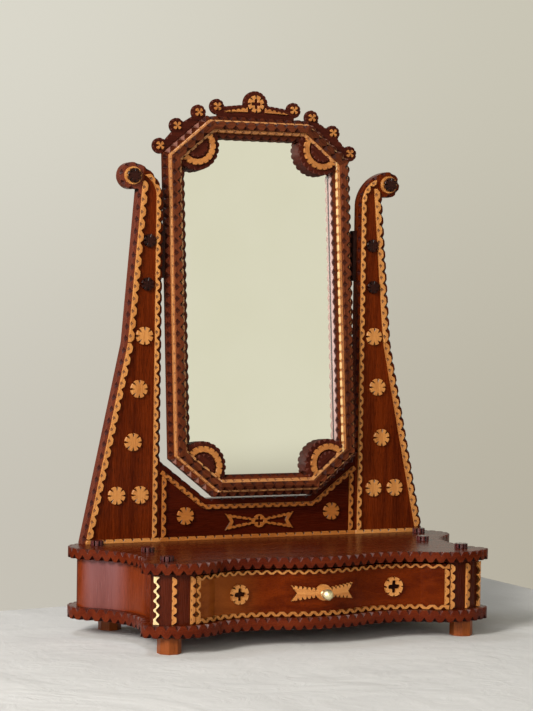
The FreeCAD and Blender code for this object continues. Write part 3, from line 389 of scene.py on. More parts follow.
class Carving:
    """One piece being carved, in mm; every part of it keeps the direction of its own grain."""

    def __init__(self, name, place):
        self.name, self.place, self.bm = name, place, bmesh.new()
        self.grain = self.bm.verts.layers.float_vector.new("grain")
        self.cut = self.bm.faces.layers.float.new("cut")
        self.deep = self.bm.faces.layers.float.new("deep")
        self.draw = random.Random(name)

    def block(self, walls, low, high, drop=0.0, along=(1, 0)):
        """Solid between two levels; walls are columns of its outline and then of its holes.  Where a
        column is pulled, the wall is cut off that much lower, so every notch has flat facets."""
        bm = self.bm
        made, rims = [], [[], []]
        for columns in walls:
            deepest = [max(column[rim] for column in columns) or 1 for rim in (3, 2)]
            chips = [[drop * column[rim] / most for column in columns]
                     for rim, most in zip((3, 2), deepest)]
            ring = [bm.verts.new((spot.x, spot.y, low)) for spot, _, _, _ in columns]
            edges = [bm.edges.new((a, b)) for a, b in zip(ring, ring[1:] + ring[:1])]
            rims[0] += edges
            rings = [ring]
            heights = [[low + chip for chip in chips[0]], [high - chip for chip in chips[1]],
                       [high] * len(columns)]
            for level in heights:
                number = {vert: i for i, vert in enumerate(ring)}
                raised = bmesh.ops.extrude_edge_only(bm, edges=edges)["geom"]
                edges = [item for item in raised if isinstance(item, bmesh.types.BMEdge)]
                ring = [None] * len(columns)
                for vert in [item for item in raised if isinstance(item, bmesh.types.BMVert)]:
                    foot = next(edge.other_vert(vert) for edge in vert.link_edges
                                if edge.other_vert(vert) in number)
                    vert.co.z = level[number[foot]]
                    ring[number[foot]] = vert
                rings.append(ring)
            rims[1] += edges
            for i, (spot, into, upper, lower) in enumerate(columns):
                rings[0][i].co.xy += into * lower
                rings[3][i].co.xy += into * upper
                ahead, behind = columns[(i + 1) % len(columns)][0] - spot, spot - columns[i - 1][0]
                deep_cut = (behind.length and ahead.length
                            and behind.angle_signed(ahead) > math.radians(50))
                # Notch facets are marked cut, for the chip colour with its painted shade; walls of deep
                # cuts and the lower notches' facets are marked deep, for painted shade.
                for below, above in ((0, 1), (1, 2), (2, 3)):
                    for face in rings[above][i].link_faces:
                        if rings[below][i] in face.verts:
                            if above == 3 and upper:
                                face[self.cut] = 1
                            elif deep_cut or (below == 0 and lower):
                                face[self.deep] = 1
            made += [vert for ring in rings for vert in ring]
        bmesh.ops.triangle_fill(bm, edges=rims[0], use_beauty=True, normal=(0, 0, -1))
        bmesh.ops.triangle_fill(bm, edges=rims[1], use_beauty=True, normal=(0, 0, 1))
        along = Vector(along).normalized()
        offset = Vector([self.draw.uniform(-400, 400) for _ in range(3)])
        for vert in made:
            spot = Vector((vert.co.x * along.x + vert.co.y * along.y,
                           vert.co.y * along.x - vert.co.x * along.y, vert.co.z))
            vert[self.grain] = spot + offset
        bmesh.ops.remove_doubles(bm, verts=made, dist=0.0005)

    def finish(self, material, body, node, slot, arris=0.25):
        """Set the piece in its place with its finish, and hide the node it stands for."""
        bmesh.ops.recalc_face_normals(self.bm, faces=self.bm.faces)
        bmesh.ops.transform(self.bm, matrix=self.place, verts=self.bm.verts)
        mesh = bpy.data.meshes.new(self.name)
        self.bm.to_mesh(mesh)
        self.bm.free()
        mesh.materials.append(material)
        made = bpy.data.objects.new(self.name, mesh)
        bpy.context.scene.collection.objects.link(made)
        rub_down(made, arris)
        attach(made, body)
        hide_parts(node)


board_wood = wood("board_mahogany", (0.062, 0.006, 0.0014), (0.130, 0.019, 0.004), shine=0.26,
                  gloss=0.08, chip=(0.070, 0.020, 0.015), coat=0.42)
BOARD_TOP = 104.5
for board, low, high in (("bottom_board", 20, 34), ("top_board", 92, BOARD_TOP)):
    carving = Carving(board + "_notched", FLAT)
    plan = outlines(board, FLAT, (low + high) / 2)[0]
    carving.block([notched(plan, 12.6, 5.0, share=0.54, under=5)], low, high, drop=5.2)
    carving.finish(board_wood, "stand", board, "mahogany")


# ---------------- case walls and their inside
# Shaped mahogany sides with hollow waists, solid corner blocks behind the pilasters, a straight back,
# and plain softwood guides and stops that the drawer runs against.
def painted_sheen(finish, spot, tone, colour):
    """Painted sheen: a pale pinkish grey over the middle of each side, stronger towards the top, in
    place of a reflection in the hollow waist.
    """
    sheen = spot[1].between(-0.006, 0.026) * spot[1].between(0.056, 0.040) * (spot[2] * 5.0 + 0.4)
    return finish.mix(sheen * (tone * 0.4 + 0.6), colour, (0.185, 0.080, 0.084))


# The sides' patina is a painted sheen over their middles.
side_wood = wood("side_mahogany", (0.100, 0.012, 0.0013), (0.195, 0.031, 0.005), axis="Z",
                 shine=0.24, gloss=0.26, patina=painted_sheen)
block_wood = wood("post_mahogany", (0.042, 0.005, 0.0012), (0.088, 0.013, 0.0030), axis="Z",
                  shine=0.27, gloss=0.1)
pine = wood("pine", (0.34, 0.19, 0.085), (0.52, 0.33, 0.17), axis="X", shine=0.55, pores=0.25)
dress(["side_panel_left", "side_panel_right", "case_back"], side_wood)
dress(["corner_block_left", "corner_block_right"], block_wood)
dress(["drawer_guide_left", "drawer_guide_right", "drawer_stops"], pine)


# ---------------- posts and apron
# Two tapered mahogany posts with scrolled heads and the low apron between them, all cut from
# half-inch board.  The front arris is notched wherever it is free.
def painted_edge_sheen(finish, spot, tone, colour):
    """Painted highlight: a milky pink along the outside of the left post's front, in place of the
    window's light on that edge.
    """
    below_knee, above_knee = spot[2] * -0.2115 + 0.2556, spot[2] * -0.0844 + 0.2114
    edge = below_knee.sum_of("MAXIMUM", below_knee, above_knee)
    edge_sheen = (edge + spot[0]).between(0.0050, 0.0040) * (tone * 0.3 + 0.5)
    return finish.mix(edge_sheen, colour, (0.150, 0.040, 0.024))


# panel_mahogany carries a painted highlight along the left post's outer edge.
panel_wood = wood("panel_mahogany", (0.048, 0.0050, 0.0005), (0.142, 0.0195, 0.0018), shine=0.27,
                  gloss=0.08, pores=0.85, chip=(0.024, 0.003, 0.002), coat=0.12, patina=painted_edge_sheen)
apron_wood = wood("apron_mahogany", (0.026, 0.002, 0.0004), (0.062, 0.006, 0.0008), shine=0.27,
                  gloss=0.06, chip=(0.030, 0.006, 0.004), coat=0.3)
STOOD_UP = Matrix(((1, 0, 0, 0), (0, 0, -1, 0), (0, 1, 0, 0), (0, 0, 0, 1)))
UPRIGHT = FLAT @ STOOD_UP
APRON_END, APRON_SHOULDER, POST_FRONT, POST_BACK = 134.0, 203.0, -83.0, -97.0
for side, sign in (("left", -1), ("right", 1)):
    carving = Carving(f"post_{side}_notched", UPRIGHT)
    outline = outlines("post_" + side, UPRIGHT, POST_FRONT - 1)[0]
    shoulder = Vector((sign * APRON_END, APRON_SHOULDER))

    def joined(spot, sign=sign):
        """The foot on the board and the edge behind the apron's end are never notched."""
        behind_apron = abs(spot.x * sign - APRON_END) < 1 and spot.y < APRON_SHOULDER
        return spot.y < BOARD_TOP + 1 or behind_apron

    carving.block([notched(outline, 14.4, 4.2, share=0.6, plain=joined, breaks=[shoulder])], POST_BACK,
                  POST_FRONT, drop=4.2, along=(0, 1))
    carving.finish(panel_wood, "stand", "post_" + side, "mahogany")

carving = Carving("apron_notched", UPRIGHT)
outline = outlines("apron", UPRIGHT, -90)[0]
carving.block([notched(outline, 14.4, 3.2,
                       plain=lambda spot: abs(spot.x) > APRON_END - 1 or spot.y < BOARD_TOP + 1)],
              POST_BACK, POST_FRONT, drop=3.2)
carving.finish(apron_wood, "stand", "apron", "mahogany")


# ---------------- pale strips on the posts and the apron
# Satinwood strips glued flat on the mahogany.  The right-hand edge of each is cut into lobes right
# through, the left-hand arris only nicked at the middle of every lobe.
def pale_corner(finish, spot, tone, colour):
    """Paler paint on the wavy strip of the left front corner, in place of light from the window."""
    corner = spot[0].between(-0.2040, -0.2045) * spot[2].between(0.0900, 0.0895)
    return finish.mix(corner * (tone * 0.2 + 0.8), colour, (0.84, 0.63, 0.33))


pale_wood = wood("satinwood", (0.40, 0.140, 0.030), (0.62, 0.270, 0.074), shine=0.30, gloss=0.3,
                 pores=0.3, chip=(0.075, 0.021, 0.006), patina=pale_corner)
# A darker copy of the satinwood for the apron's strips, rosettes and bow-tie: painted shade, for the
# mirror's shadow over the apron.
shaded_pale = wood("satinwood_shaded", (0.27, 0.078, 0.013), (0.43, 0.150, 0.030), shine=0.34,
                   pores=0.4, chip=(0.060, 0.014, 0.004))
LOBE = ((0.0, 3.7), (0.23, 0.5), (0.31, 0.0), (0.5, 0.0), (0.69, 0.0), (0.77, 0.5))
STRIP_LOW, STRIP_HIGH = POST_FRONT, POST_FRONT + 4


def strip(points, width, pitch, near, far, corner=0.0, reach=0.5):
    """Columns of a strip with one edge along the points and the other a width to their left.  Each edge
    repeats a profile of (share of the pitch, depth cut right through, pull of the arris); the two
    corners of the far edge are cut back by corner."""
    way = Way(points)
    count = max(1, round(way.length / pitch))
    step = way.length / count
    edges = []
    for profile, offset, turn in ((near, 0.0, 1), (far, width, -1)):
        edge = []
        for k in range(count):
            for part, depth, pull in profile:
                spot, into = way.eased((k + part) * step, reach)
                edge.append((spot + into * (offset + turn * depth), into * turn, pull, 0))
        edges.append(edge)
    corners = []
    for distance in (way.length, 0):
        spot, into = way.eased(distance, reach)
        corners.append((spot + into * (width - corner), -into, 0, 0))
    end, into = way.eased(way.length, reach)
    return edges[0] + [(end, into, 0, 0), corners[0]] + edges[1][:0:-1] + [corners[1]]


def lobed(points, width, pitch, lobes=LOBE, nick=3.1, lobes_left=True):
    """Columns of a strip with a nicked straight edge along the points and its lobes on one side."""
    nicked = ((0, 0, 0), (0.32, 0, 0), (0.5, 0, nick), (0.68, 0, 0))
    return strip(points if lobes_left else points[::-1], width, pitch, nicked,
                 [(part, depth, 0) for part, depth in lobes], corner=lobes[0][1])


def arc_points(centre, radius, start, stop, count=24):
    """Points of an arc between two angles in degrees."""
    turns = [math.radians(start + (stop - start) * i / count) for i in range(count + 1)]
    return [(centre[0] + radius * math.cos(a), centre[1] + radius * math.sin(a)) for a in turns]


POST_FOOT_X, KNEE_X, KNEE_Z, HEAD_X, HEAD_Z = 233.5, 182.0, 348.0, 166.3, 534.1
POST_INNER, BEND_FOOT, BEND_RISE, BEND_IN, MARGIN = 137.0, 526.5, 30.0, 19.0, 4.3


def edge_x(z):
    """|x| of a post's outer edge at a height."""
    if z < KNEE_Z:
        return POST_FOOT_X + (z - BOARD_TOP) / (KNEE_Z - BOARD_TOP) * (KNEE_X - POST_FOOT_X)
    return KNEE_X + (z - KNEE_Z) / (HEAD_Z - KNEE_Z) * (HEAD_X - KNEE_X)


STRIP_WIDTH, INNER_WIDTH, STRIP_PITCH = 6.4, 4.9, 14.6
FOOT_WIDTH, FOOT_PITCH, FOOT_TOP = 4.7, 12.0, 109.2
FOOT_LOBE = ((0.0, 2.7), (0.12, 0.0), (0.5, 0.0), (0.88, 0.0))
for side, sign in (("left", -1), ("right", 1)):
    carving = Carving(f"post_strips_{side}_lobed", UPRIGHT)
    runs = []
    for low, high in ((FOOT_TOP + 1.4, KNEE_Z), (KNEE_Z + 0.8, 544.7)):
        runs.append([(sign * (edge_x(z) - MARGIN) - (6.7 if sign > 0 else 0), z) for z in (low, high)])
    inner = POST_INNER + 0.5 if sign > 0 else -POST_INNER - 6.1
    runs.append([(inner, FOOT_TOP), (inner, BEND_FOOT)])
    bend = (BEND_IN ** 2 + BEND_RISE ** 2) / (2 * BEND_IN)
    turn = math.degrees(math.atan2(BEND_RISE, bend - BEND_IN))
    if sign > 0:
        runs.append(arc_points((POST_INNER + bend, BEND_FOOT), bend - 0.5, 180, 180 - turn))
    else:
        runs.append(arc_points((-POST_INNER - bend, BEND_FOOT), bend - 6.1, 0, turn))
    for points, width in zip(runs, (STRIP_WIDTH, STRIP_WIDTH, INNER_WIDTH, INNER_WIDTH)):
        ahead = Vector(points[-1]) - Vector(points[0])
        carving.block([lobed(points, width, STRIP_PITCH, lobes_left=False)], STRIP_LOW, STRIP_HIGH,
                      drop=2.6, along=ahead)
    ends = sorted([sign * APRON_END, sign * (POST_FOOT_X - MARGIN)])
    carving.block([lobed([(ends[0], BOARD_TOP), (ends[1], BOARD_TOP)], FOOT_WIDTH, FOOT_PITCH,
                         lobes=FOOT_LOBE, nick=0)], STRIP_LOW, STRIP_HIGH)
    carving.finish(pale_wood, "stand", "post_strips_" + side, "satinwood")

carving = Carving("apron_strips_lobed", UPRIGHT)
SLANT_RUN, SLANT_RISE, LEVEL_Z, UPPER_WIDTH = 62, 48, 147.8, 5.4
slant = math.hypot(SLANT_RUN, SLANT_RISE)
turn_x = 72 + 6 * (slant - SLANT_RUN) / SLANT_RISE


def slant_z(x):
    """Height of the upper edge of the strip along the apron's top, where it climbs to the posts."""
    return LEVEL_Z + (x - turn_x) * SLANT_RISE / SLANT_RUN


def edged(points, width, pitch, deep):
    """Columns of a strip V-cut along the arrises of both its long edges, half a pitch apart."""
    return strip(points, width, pitch, ((0, 0, 0), (0.25, 0, 0), (0.5, 0, deep), (0.75, 0, 0)),
                 ((0, 0, deep), (0.25, 0, 0), (0.75, 0, 0)), reach=0.4)


upper_end, upright_end = slant_z(130.6), slant_z(129.8) - UPPER_WIDTH * slant / SLANT_RUN
upper_run = [(130.6, upper_end), (turn_x, LEVEL_Z), (-turn_x, LEVEL_Z), (-130.6, upper_end)]
carving.block([edged(upper_run, UPPER_WIDTH, 11.8, 2.8)], STRIP_LOW, STRIP_HIGH, drop=2.8)
for low_x in (-131.0, 125.4):
    upright = lobed([(low_x, FOOT_TOP), (low_x, upright_end)], INNER_WIDTH, STRIP_PITCH,
                    lobes_left=False)
    carving.block([upright], STRIP_LOW, STRIP_HIGH - 0.2, drop=2.4, along=(0, 1))
foot_strip = [(-APRON_END, BOARD_TOP), (APRON_END, BOARD_TOP)]
carving.block([lobed(foot_strip, FOOT_WIDTH, FOOT_PITCH, lobes=FOOT_LOBE, nick=0)],
              STRIP_LOW, STRIP_HIGH)
carving.finish(shaded_pale, "stand", "apron_strips", "satinwood")


# ---------------- rosettes, rings and bosses
# Small turned discs whose rims are cut into petals with a V tool: pale ones on the panels, ebonised
# ones above them, a ring and a boss in each scroll, and six dark bosses on the top board.
PETAL = ((0.0, 4.2), (0.13, 0.3), (0.20, 0.0), (0.5, 0.0), (0.80, 0.0), (0.87, 0.3))
ROSETTE_RADIUS, ROSETTE_FACE, SCROLL_X, SCROLL_Z = 11.0, POST_FRONT + 3.5, 174.4, 550.5


def petalled(centre, radius, count, depth=1.0, turn=90.0, profile=PETAL):
    """Columns of a disc with V cuts right through its rim, the first one at the angle turn."""
    columns = []
    for k in range(count):
        for part, cut in profile:
            angle = math.radians(turn + 360 * (k + part) / count)
            out = Vector((math.cos(angle), math.sin(angle)))
            columns.append((Vector(centre) + out * (radius - cut * depth), -out, 0, 0))
    return columns


def round_hole(centre, radius, count=24):
    """Columns of a round hole, the wood outside it."""
    return uncut(arc_points(centre, radius, 360, 360 / count, count - 1))


def cross_hole(centre, reach, waist):
    """Columns of a four-armed opening with round ends, the wood outside it."""
    arm = ((0, reach), (-13, reach * 0.97), (-22, reach * 0.86), (-45, waist), (-68, reach * 0.86),
           (-77, reach * 0.97))
    turns = [(math.radians(turn - 90 * k), size) for k in range(4) for turn, size in arm]
    return uncut(Vector(centre) + Vector((math.cos(turn), math.sin(turn))) * size
                 for turn, size in turns)


def post_middle(z):
    """|x| of the middle of the panel between a post's two long strips at a height."""
    return (POST_INNER + edge_x(z) - MARGIN) / 2


dark_wood = wood("dark_mahogany", (0.012, 0.003, 0.002), (0.036, 0.007, 0.004), shine=0.28)
for side, sign in (("left", -1), ("right", 1)):
    carving = Carving(f"post_rosettes_{side}_petalled", UPRIGHT)
    spots = [(160, 162.3), (190.5, 162.3)] + [(post_middle(z), z) for z in (227.0, 291.7, 356.4)]
    for x, z in spots:
        carving.block([petalled((sign * x, z), ROSETTE_RADIUS, 8)], POST_FRONT, ROSETTE_FACE,
                      along=(0, 1))
    carving.finish(pale_wood, "stand", "post_rosettes_" + side, "satinwood", arris=0.5)

carving = Carving("apron_rosettes_petalled", UPRIGHT)
for x in (-100, 100):
    carving.block([petalled((x, 134.7), ROSETTE_RADIUS, 8)], POST_FRONT, ROSETTE_FACE)
carving.finish(shaded_pale, "stand", "apron_rosettes", "satinwood", arris=0.5)

carving = Carving("dark_rosettes_petalled", UPRIGHT)
for sign in (-1, 1):
    for z in (419.5, 472.2):
        carving.block([petalled((sign * post_middle(z), z), 8.1, 8, depth=0.8)], POST_FRONT,
                      POST_FRONT + 5, along=(0, 1))
carving.finish(dark_wood, "stand", "dark_rosettes", "dark_mahogany", arris=0.6)

rings, bosses = Carving("scroll_rings_notched", UPRIGHT), Carving("scroll_bosses_petalled", UPRIGHT)
for eye in ((-SCROLL_X, SCROLL_Z), (SCROLL_X, SCROLL_Z)):
    rings.block([petalled(eye, 10.9, 12, depth=0.08), round_hole(eye, 6.5)], POST_FRONT, STRIP_HIGH)
    bosses.block([petalled(eye, 8.9, 8, depth=0.8)], STRIP_HIGH, STRIP_HIGH + 5)
rings.finish(pale_wood, "stand", "scroll_rings", "satinwood")
bosses.finish(dark_wood, "stand", "scroll_bosses", "dark_mahogany", arris=0.8)

carving = Carving("top_board_bosses_petalled", FLAT)
for sign in (-1, 1):
    for x, y in ((219.5, 68), (183.6, -8), (192, -90)):
        carving.block([petalled((sign * x, y), 8, 8, depth=0.7)], BOARD_TOP, BOARD_TOP + 6)
boss_wood = wood("boss_mahogany", (0.045, 0.007, 0.006), (0.105, 0.022, 0.020), shine=0.22, gloss=0.6)
carving.finish(boss_wood, "stand", "top_board_bosses", "dark_mahogany", arris=0.8)


# ---------------- bow-ties
# Flat pale ornaments with a round eye between two fish tails, their long edges V-cut.  The one on
# the apron is fretted to a thin outline, the one on the drawer is solid and carries the knob.
def bow(z, half, tip, bite, eye, waist, cuts, depth):
    """Columns of a bow-tie about x = 0 with a round eye; cuts is how many slanting cuts each long edge
    of a tail has, bite how deep the V between its two tips is."""
    near = math.sqrt(eye * eye - waist * waist)
    columns = []
    for sign in (1, -1):
        low, high = Vector((sign * near, -sign * waist)), Vector((sign * near, sign * waist))
        tips = Vector((sign * half, -sign * tip)), Vector((sign * half, sign * tip))
        for a, b in ((low, tips[0]), (tips[1], high)):
            ahead = (b - a).normalized()
            into = Vector((-ahead.y, ahead.x))
            for k in range(cuts):
                for part, cut in ((0.0, 0), (0.16 if a is low else 0.32, 0.1), (0.5, 1),
                                  (0.68 if a is low else 0.84, 0.1)):
                    spot = a + (b - a) * (k + part) / cuts
                    columns.append((spot + into * depth * cut, into, 0, 0))
            columns.append((b, into, 0, 0))
            if a is low:
                columns.append((Vector((sign * (half - bite), 0)), into, 0, 0))
        turn = math.degrees(math.asin(waist / eye))
        start = turn if sign > 0 else 180 + turn
        columns += uncut(arc_points((0, 0), eye, start, start + 180 - 2 * turn, 14)[1:-1])
    return [(spot + Vector((0, z)), into, upper, lower) for spot, into, upper, lower in columns]


def tail_hole(z, sign, near, far, low, high, bite, cuts, depth):
    """Columns of the opening in one tail of the fretted bow-tie, lobed along its two long edges."""
    corners = [Vector((near, -low)), Vector((near, low)), Vector((far, high)), Vector((far - bite, 0)),
               Vector((far, -high))]
    spots = []
    for a, b in zip(corners, corners[1:] + corners[:1]):
        spots.append(a)
        if abs(a.x - b.x) > bite + 1:
            ahead = (b - a).normalized()
            into = Vector((-ahead.y, ahead.x))
            for k in range(cuts):
                for part, cut in ((0.35, 0), (0.5, depth), (0.65, 0)):
                    spots.append(a + (b - a) * (k + part) / cuts + into * cut)
    if sign < 0:
        spots = [Vector((-spot.x, spot.y)) for spot in reversed(spots)]
    return uncut(spot + Vector((0, z)) for spot in spots)


BOW_Z = 125.5
carving = Carving("apron_bowtie_fretted", UPRIGHT)
holes = [tail_hole(BOW_Z, sign, 11, 37.4, 0.9, 5.0, 2.4, 3, 1.3) for sign in (-1, 1)]
holes.insert(0, cross_hole((0, BOW_Z), 6.0, 2.1))
carving.block([bow(BOW_Z, 47, 10.5, 7, 8.2, 3.6, 6, 1.0)] + holes, POST_FRONT, POST_FRONT + 2.5)
carving.finish(shaded_pale, "stand", "apron_bowtie", "satinwood")


# ---------------- curved front: drawer and pilasters
# The drawer front follows the serpentine of the boards.  Pale wavy ribbons frame it, two rosettes
# pierced with a cross and a solid bow-tie lie on it, and lobed upright strips stand on the corners.
def arc_through(a, b, c, count):
    """Points of the arc that runs from a through b to c."""
    a, b, c = Vector(a), Vector(b), Vector(c)
    first, second = b - a, c - a
    twice = 2 * first.cross(second)
    centre = a + Vector((second.y * first.length_squared - first.y * second.length_squared,
                         first.x * second.length_squared - second.x * first.length_squared)) / twice
    start, sweep = a - centre, (a - centre).angle_signed(c - centre)
    return [centre + Matrix.Rotation(-sweep * i / count, 2) @ start for i in range(count + 1)]


half_front = arc_through((0, -102), (22, -100.35), (44, -95.4), 22)
half_front += arc_through((44, -95.4), (88, -86.5), (134.5, -94.6), 40)[1:]
half_front += arc_through((134.5, -94.6), (190, -109), (208.5, -100), 40)[1:]
quarter = arc_through((208.5, -100), (212.04, -98.54), (213.5, -95), 10)[1:]
front_x = [spot.x for spot in half_front] + [208.5 + 0.785 * i for i in range(1, 11)]
half_front += quarter


def on_curve(x):
    """Spot on the curved front, and its outward normal; past the corner x counts round the bend."""
    sign = -1 if x < 0 else 1
    step = 1
    while step < len(front_x) - 1 and front_x[step] < abs(x):
        step += 1
    share = (abs(x) - front_x[step - 1]) / (front_x[step] - front_x[step - 1])
    a, b = half_front[step - 1], half_front[step]
    before, after = half_front[max(0, step - 2)], half_front[min(len(half_front) - 1, step + 1)]
    ways = [(b - before).normalized(), (after - a).normalized()]
    if step == 1:
        ways[0] = Vector((1, 0))
    ahead = ways[0].lerp(ways[1], share).normalized()
    spot = a.lerp(b, share)
    return Vector((sign * spot.x, spot.y)), Vector((sign * ahead.y, -ahead.x))


def wrapped(carving, spacing=4.0):
    """Bend a flat carving (x along the front, y up, z out of it) onto the curved front."""
    bm = carving.bm
    low, high = min(vert.co.x for vert in bm.verts), max(vert.co.x for vert in bm.verts)
    for i in range(1, math.ceil((high - low) / spacing)):
        bmesh.ops.bisect_plane(bm, geom=bm.verts[:] + bm.edges[:] + bm.faces[:],
                               plane_co=(low + i * spacing, 0, 0), plane_no=(1, 0, 0))
    for vert in bm.verts:
        spot, out = on_curve(vert.co.x)
        vert.co = (*(spot + out * vert.co.z), vert.co.y)


def wavy(points, width, pitch, cut, flat=0.24):
    """Columns of a ribbon cut right through from both edges in turn, half a pitch apart, with a flat
    of that share of the pitch on each side of every crest."""
    return strip(points, width, pitch, ((0, 0, 0), (flat, 0.1, 0), (0.5, cut, 0), (1 - flat, 0.1, 0)),
                 ((0, cut, 0), (0.5 - flat, 0.1, 0), (0.5, 0, 0), (0.5 + flat, 0.1, 0)))


FRONT_LOW, FRONT_HIGH, PILASTER_THICK, RIBBON_THICK, SKIN = 34.5, 89.0, 3.0, 3.2, 4.0
DRAWER_HALF, DRAWER_MIDDLE, KNOB_Z = 164.5, 61.75, 60.35
DEEP_LOBE = ((0, 3.9), (0.12, 2.3), (0.27, 0.3), (0.36, 0), (0.64, 0), (0.73, 0.3), (0.88, 2.3))
for side, sign in (("left", -1), ("right", 1)):
    carving = Carving(f"pilaster_strips_{side}_lobed", FLAT)
    for x in (sign * 168.8 - 2.5, sign * 190.3 - 2.5):
        carving.block([lobed([(x, FRONT_LOW), (x, FRONT_HIGH)], 5.0, 11.3, DEEP_LOBE, 0.8, False)],
                      0, PILASTER_THICK, drop=1.5, along=(0, 1))
    x, cut = (214.7, 2.6) if sign > 0 else (-205.3, 3.9)
    carving.block([wavy([(x, FRONT_LOW), (x, FRONT_HIGH)], 6.0, 10.6, cut, 0.1)], 0, PILASTER_THICK,
                  along=(0, 1))
    wrapped(carving, 1.0)
    carving.finish(pale_wood, "stand", "pilaster_strips_" + side, "satinwood")


def painted_light_and_shade(finish, spot, tone, colour):
    """Painted light: golden brown towards the left end of the front, where the window's light falls;
    painted shade: a dark ground inside the two pierced rosettes.
    """
    lit_left_end = spot[0].between(-0.065, -0.125) * (tone * 0.4 + 0.55)
    colour = finish.mix(lit_left_end, colour, (0.235, 0.060, 0.010))
    # Painted shade in the cross holes of the two drawer rosettes.
    square = spot[0] * spot[0]
    hole_shade = square.between(0.00865, 0.0088) * square.between(0.01188, 0.0117)
    hole_shade = hole_shade * spot[2].between(0.0538, 0.0545) * spot[2].between(0.0697, 0.0690)
    return finish.mix(hole_shade * 0.9, colour, (0.008, 0.002, 0.001))


# front_mahogany carries painted light at its left end and painted shade in the rosettes' holes.
front_wood = wood("front_mahogany", (0.060, 0.006, 0.0005), (0.136, 0.018, 0.0012), axis="X",
                  shine=0.22, gloss=0.05, patina=painted_light_and_shade)
dress(["drawer_front"], front_wood)
dress(["drawer_side_left", "drawer_side_right", "drawer_back", "drawer_bottom"], pine)

ribbon_wood = wood("satinwood_ribbons", (0.34, 0.115, 0.024), (0.54, 0.225, 0.058), shine=0.34,
                   pores=0.4)
carving = Carving("drawer_ribbons_wavy", FLAT)
low, high = FRONT_LOW + 5.6, FRONT_HIGH - 5.6
for ribbon, along in (
        (wavy([(-DRAWER_HALF, FRONT_LOW), (DRAWER_HALF, FRONT_LOW)], 5.4, 12.2, 3.3, 0.23), (1, 0)),
        (wavy([(DRAWER_HALF, FRONT_HIGH), (-DRAWER_HALF, FRONT_HIGH)], 5.2, 12.2, 3.5, 0.17), (1, 0)),
        (wavy([(-DRAWER_HALF, high), (-DRAWER_HALF, low)], 4.8, 11, 3.2, 0.2), (0, 1)),
        (lobed([(159.4, low), (159.4, high)], 5.0, 10.8, DEEP_LOBE, 0.8, False), (0, 1))):
    carving.block([ribbon], 0, RIBBON_THICK, along=along)
wrapped(carving)
carving.finish(ribbon_wood, "drawer", "drawer_ribbons", "satinwood")

carving = Carving("drawer_rosettes_pierced", FLAT)
for eye in ((-101, DRAWER_MIDDLE), (101, DRAWER_MIDDLE)):
    carving.block([petalled(eye, 11.6, 8, depth=0.7), cross_hole(eye, 7.9, 4.0)], 0, SKIN)
wrapped(carving)
carving.finish(pale_wood, "drawer", "drawer_rosettes", "satinwood", arris=0.5)

carving = Carving("drawer_bowtie_notched", FLAT)
carving.block([bow(DRAWER_MIDDLE, 39, 9.4, 6.6, 9.4, 5.4, 6, 3.6), round_hole((0, KNOB_Z), 2.1)],
              0, SKIN)
wrapped(carving)
carving.finish(pale_wood, "drawer", "drawer_bowtie", "satinwood")


# ---------------- knob and metal
# A small turned brass knob polished bright, its screw from inside the drawer, and the steel pins
# and screws of the mirror.
def metal(name, colour, rough):
    made, finish = surface(name, {"Metallic": 1.0})
    rub = finish.noise(finish.on_piece(), 400.0, 3.0)
    finish.shade("Base Color", finish.mix(rub.between(0.35, 0.7), colour, scaled(colour, 0.82)))
    finish.shade("Roughness", rub * 0.2 + rough)
    return made


brass = metal("brass", (0.98, 0.87, 0.53), 0.40)
steel = metal("steel", (0.50, 0.49, 0.47), 0.30)
BALL_RADIUS, BALL_HEIGHT = 6.5, 9.8
profile = [(2.1, 0.0), (4.5, 0.0), (4.1, 0.6), (3.3, 1.8), (3.0, 2.8), (3.2, 3.8), (3.9, 4.6)]
profile += arc_points((0, BALL_HEIGHT), BALL_RADIUS, -45, 90, 15)
profile += [(0.0, BALL_HEIGHT), (2.1, BALL_HEIGHT)]
knob = bmesh.new()
ring = [knob.verts.new((reach, 0, height)) for reach, height in profile]
edges = [knob.edges.new((a, b)) for a, b in zip(ring, ring[1:] + ring[:1])]
bmesh.ops.spin(knob, geom=ring + edges, cent=(0, 0, 0), axis=(0, 0, 1), angle=math.tau, steps=48,
               use_merge=True)
bmesh.ops.remove_doubles(knob, verts=knob.verts, dist=0.001)
bmesh.ops.recalc_face_normals(knob, faces=knob.faces)
seat = FLAT @ Matrix.Translation((0, -106, KNOB_Z)) @ Matrix.Rotation(math.radians(90), 4, "X")
bmesh.ops.transform(knob, matrix=seat, verts=knob.verts)
for face in knob.faces:
    face.smooth = True
knob_mesh = bpy.data.meshes.new("knob_turned")
knob.to_mesh(knob_mesh)
knob_mesh.materials.append(brass)
knob_turned = bpy.data.objects.new("knob_turned", knob_mesh)
bpy.context.scene.collection.objects.link(knob_turned)
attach(knob_turned, "drawer")
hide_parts("knob")
dress(["knob_screw", "pivot_pins", "backboard_screws"], steel)
dress(["pivot_plates"], dark_wood, 0.4)


# ---------------- mirror frame
# Three layers of eight mitred strips glued on one another: a broad mahogany one rebated for the glass,
# a pale one, and a narrow dark one on top.  Both front arrises of every strip are V-cut.
LEAN = math.radians(5.1)
MIRROR = FLAT @ Matrix.Translation((0, 93, 459)) @ Matrix.Rotation(-LEAN, 4, "X") @ STOOD_UP
FRAME_MIDDLE, HALF_WIDE, HALF_TALL, CLIP_ACROSS, CLIP_DOWN = -65.5, 127.5, 236, 58, 48
BASE_LOW, BASE_HIGH, MIDDLE_HIGH, TOP_HIGH = -5.5, 3.5, 9.5, 15.5


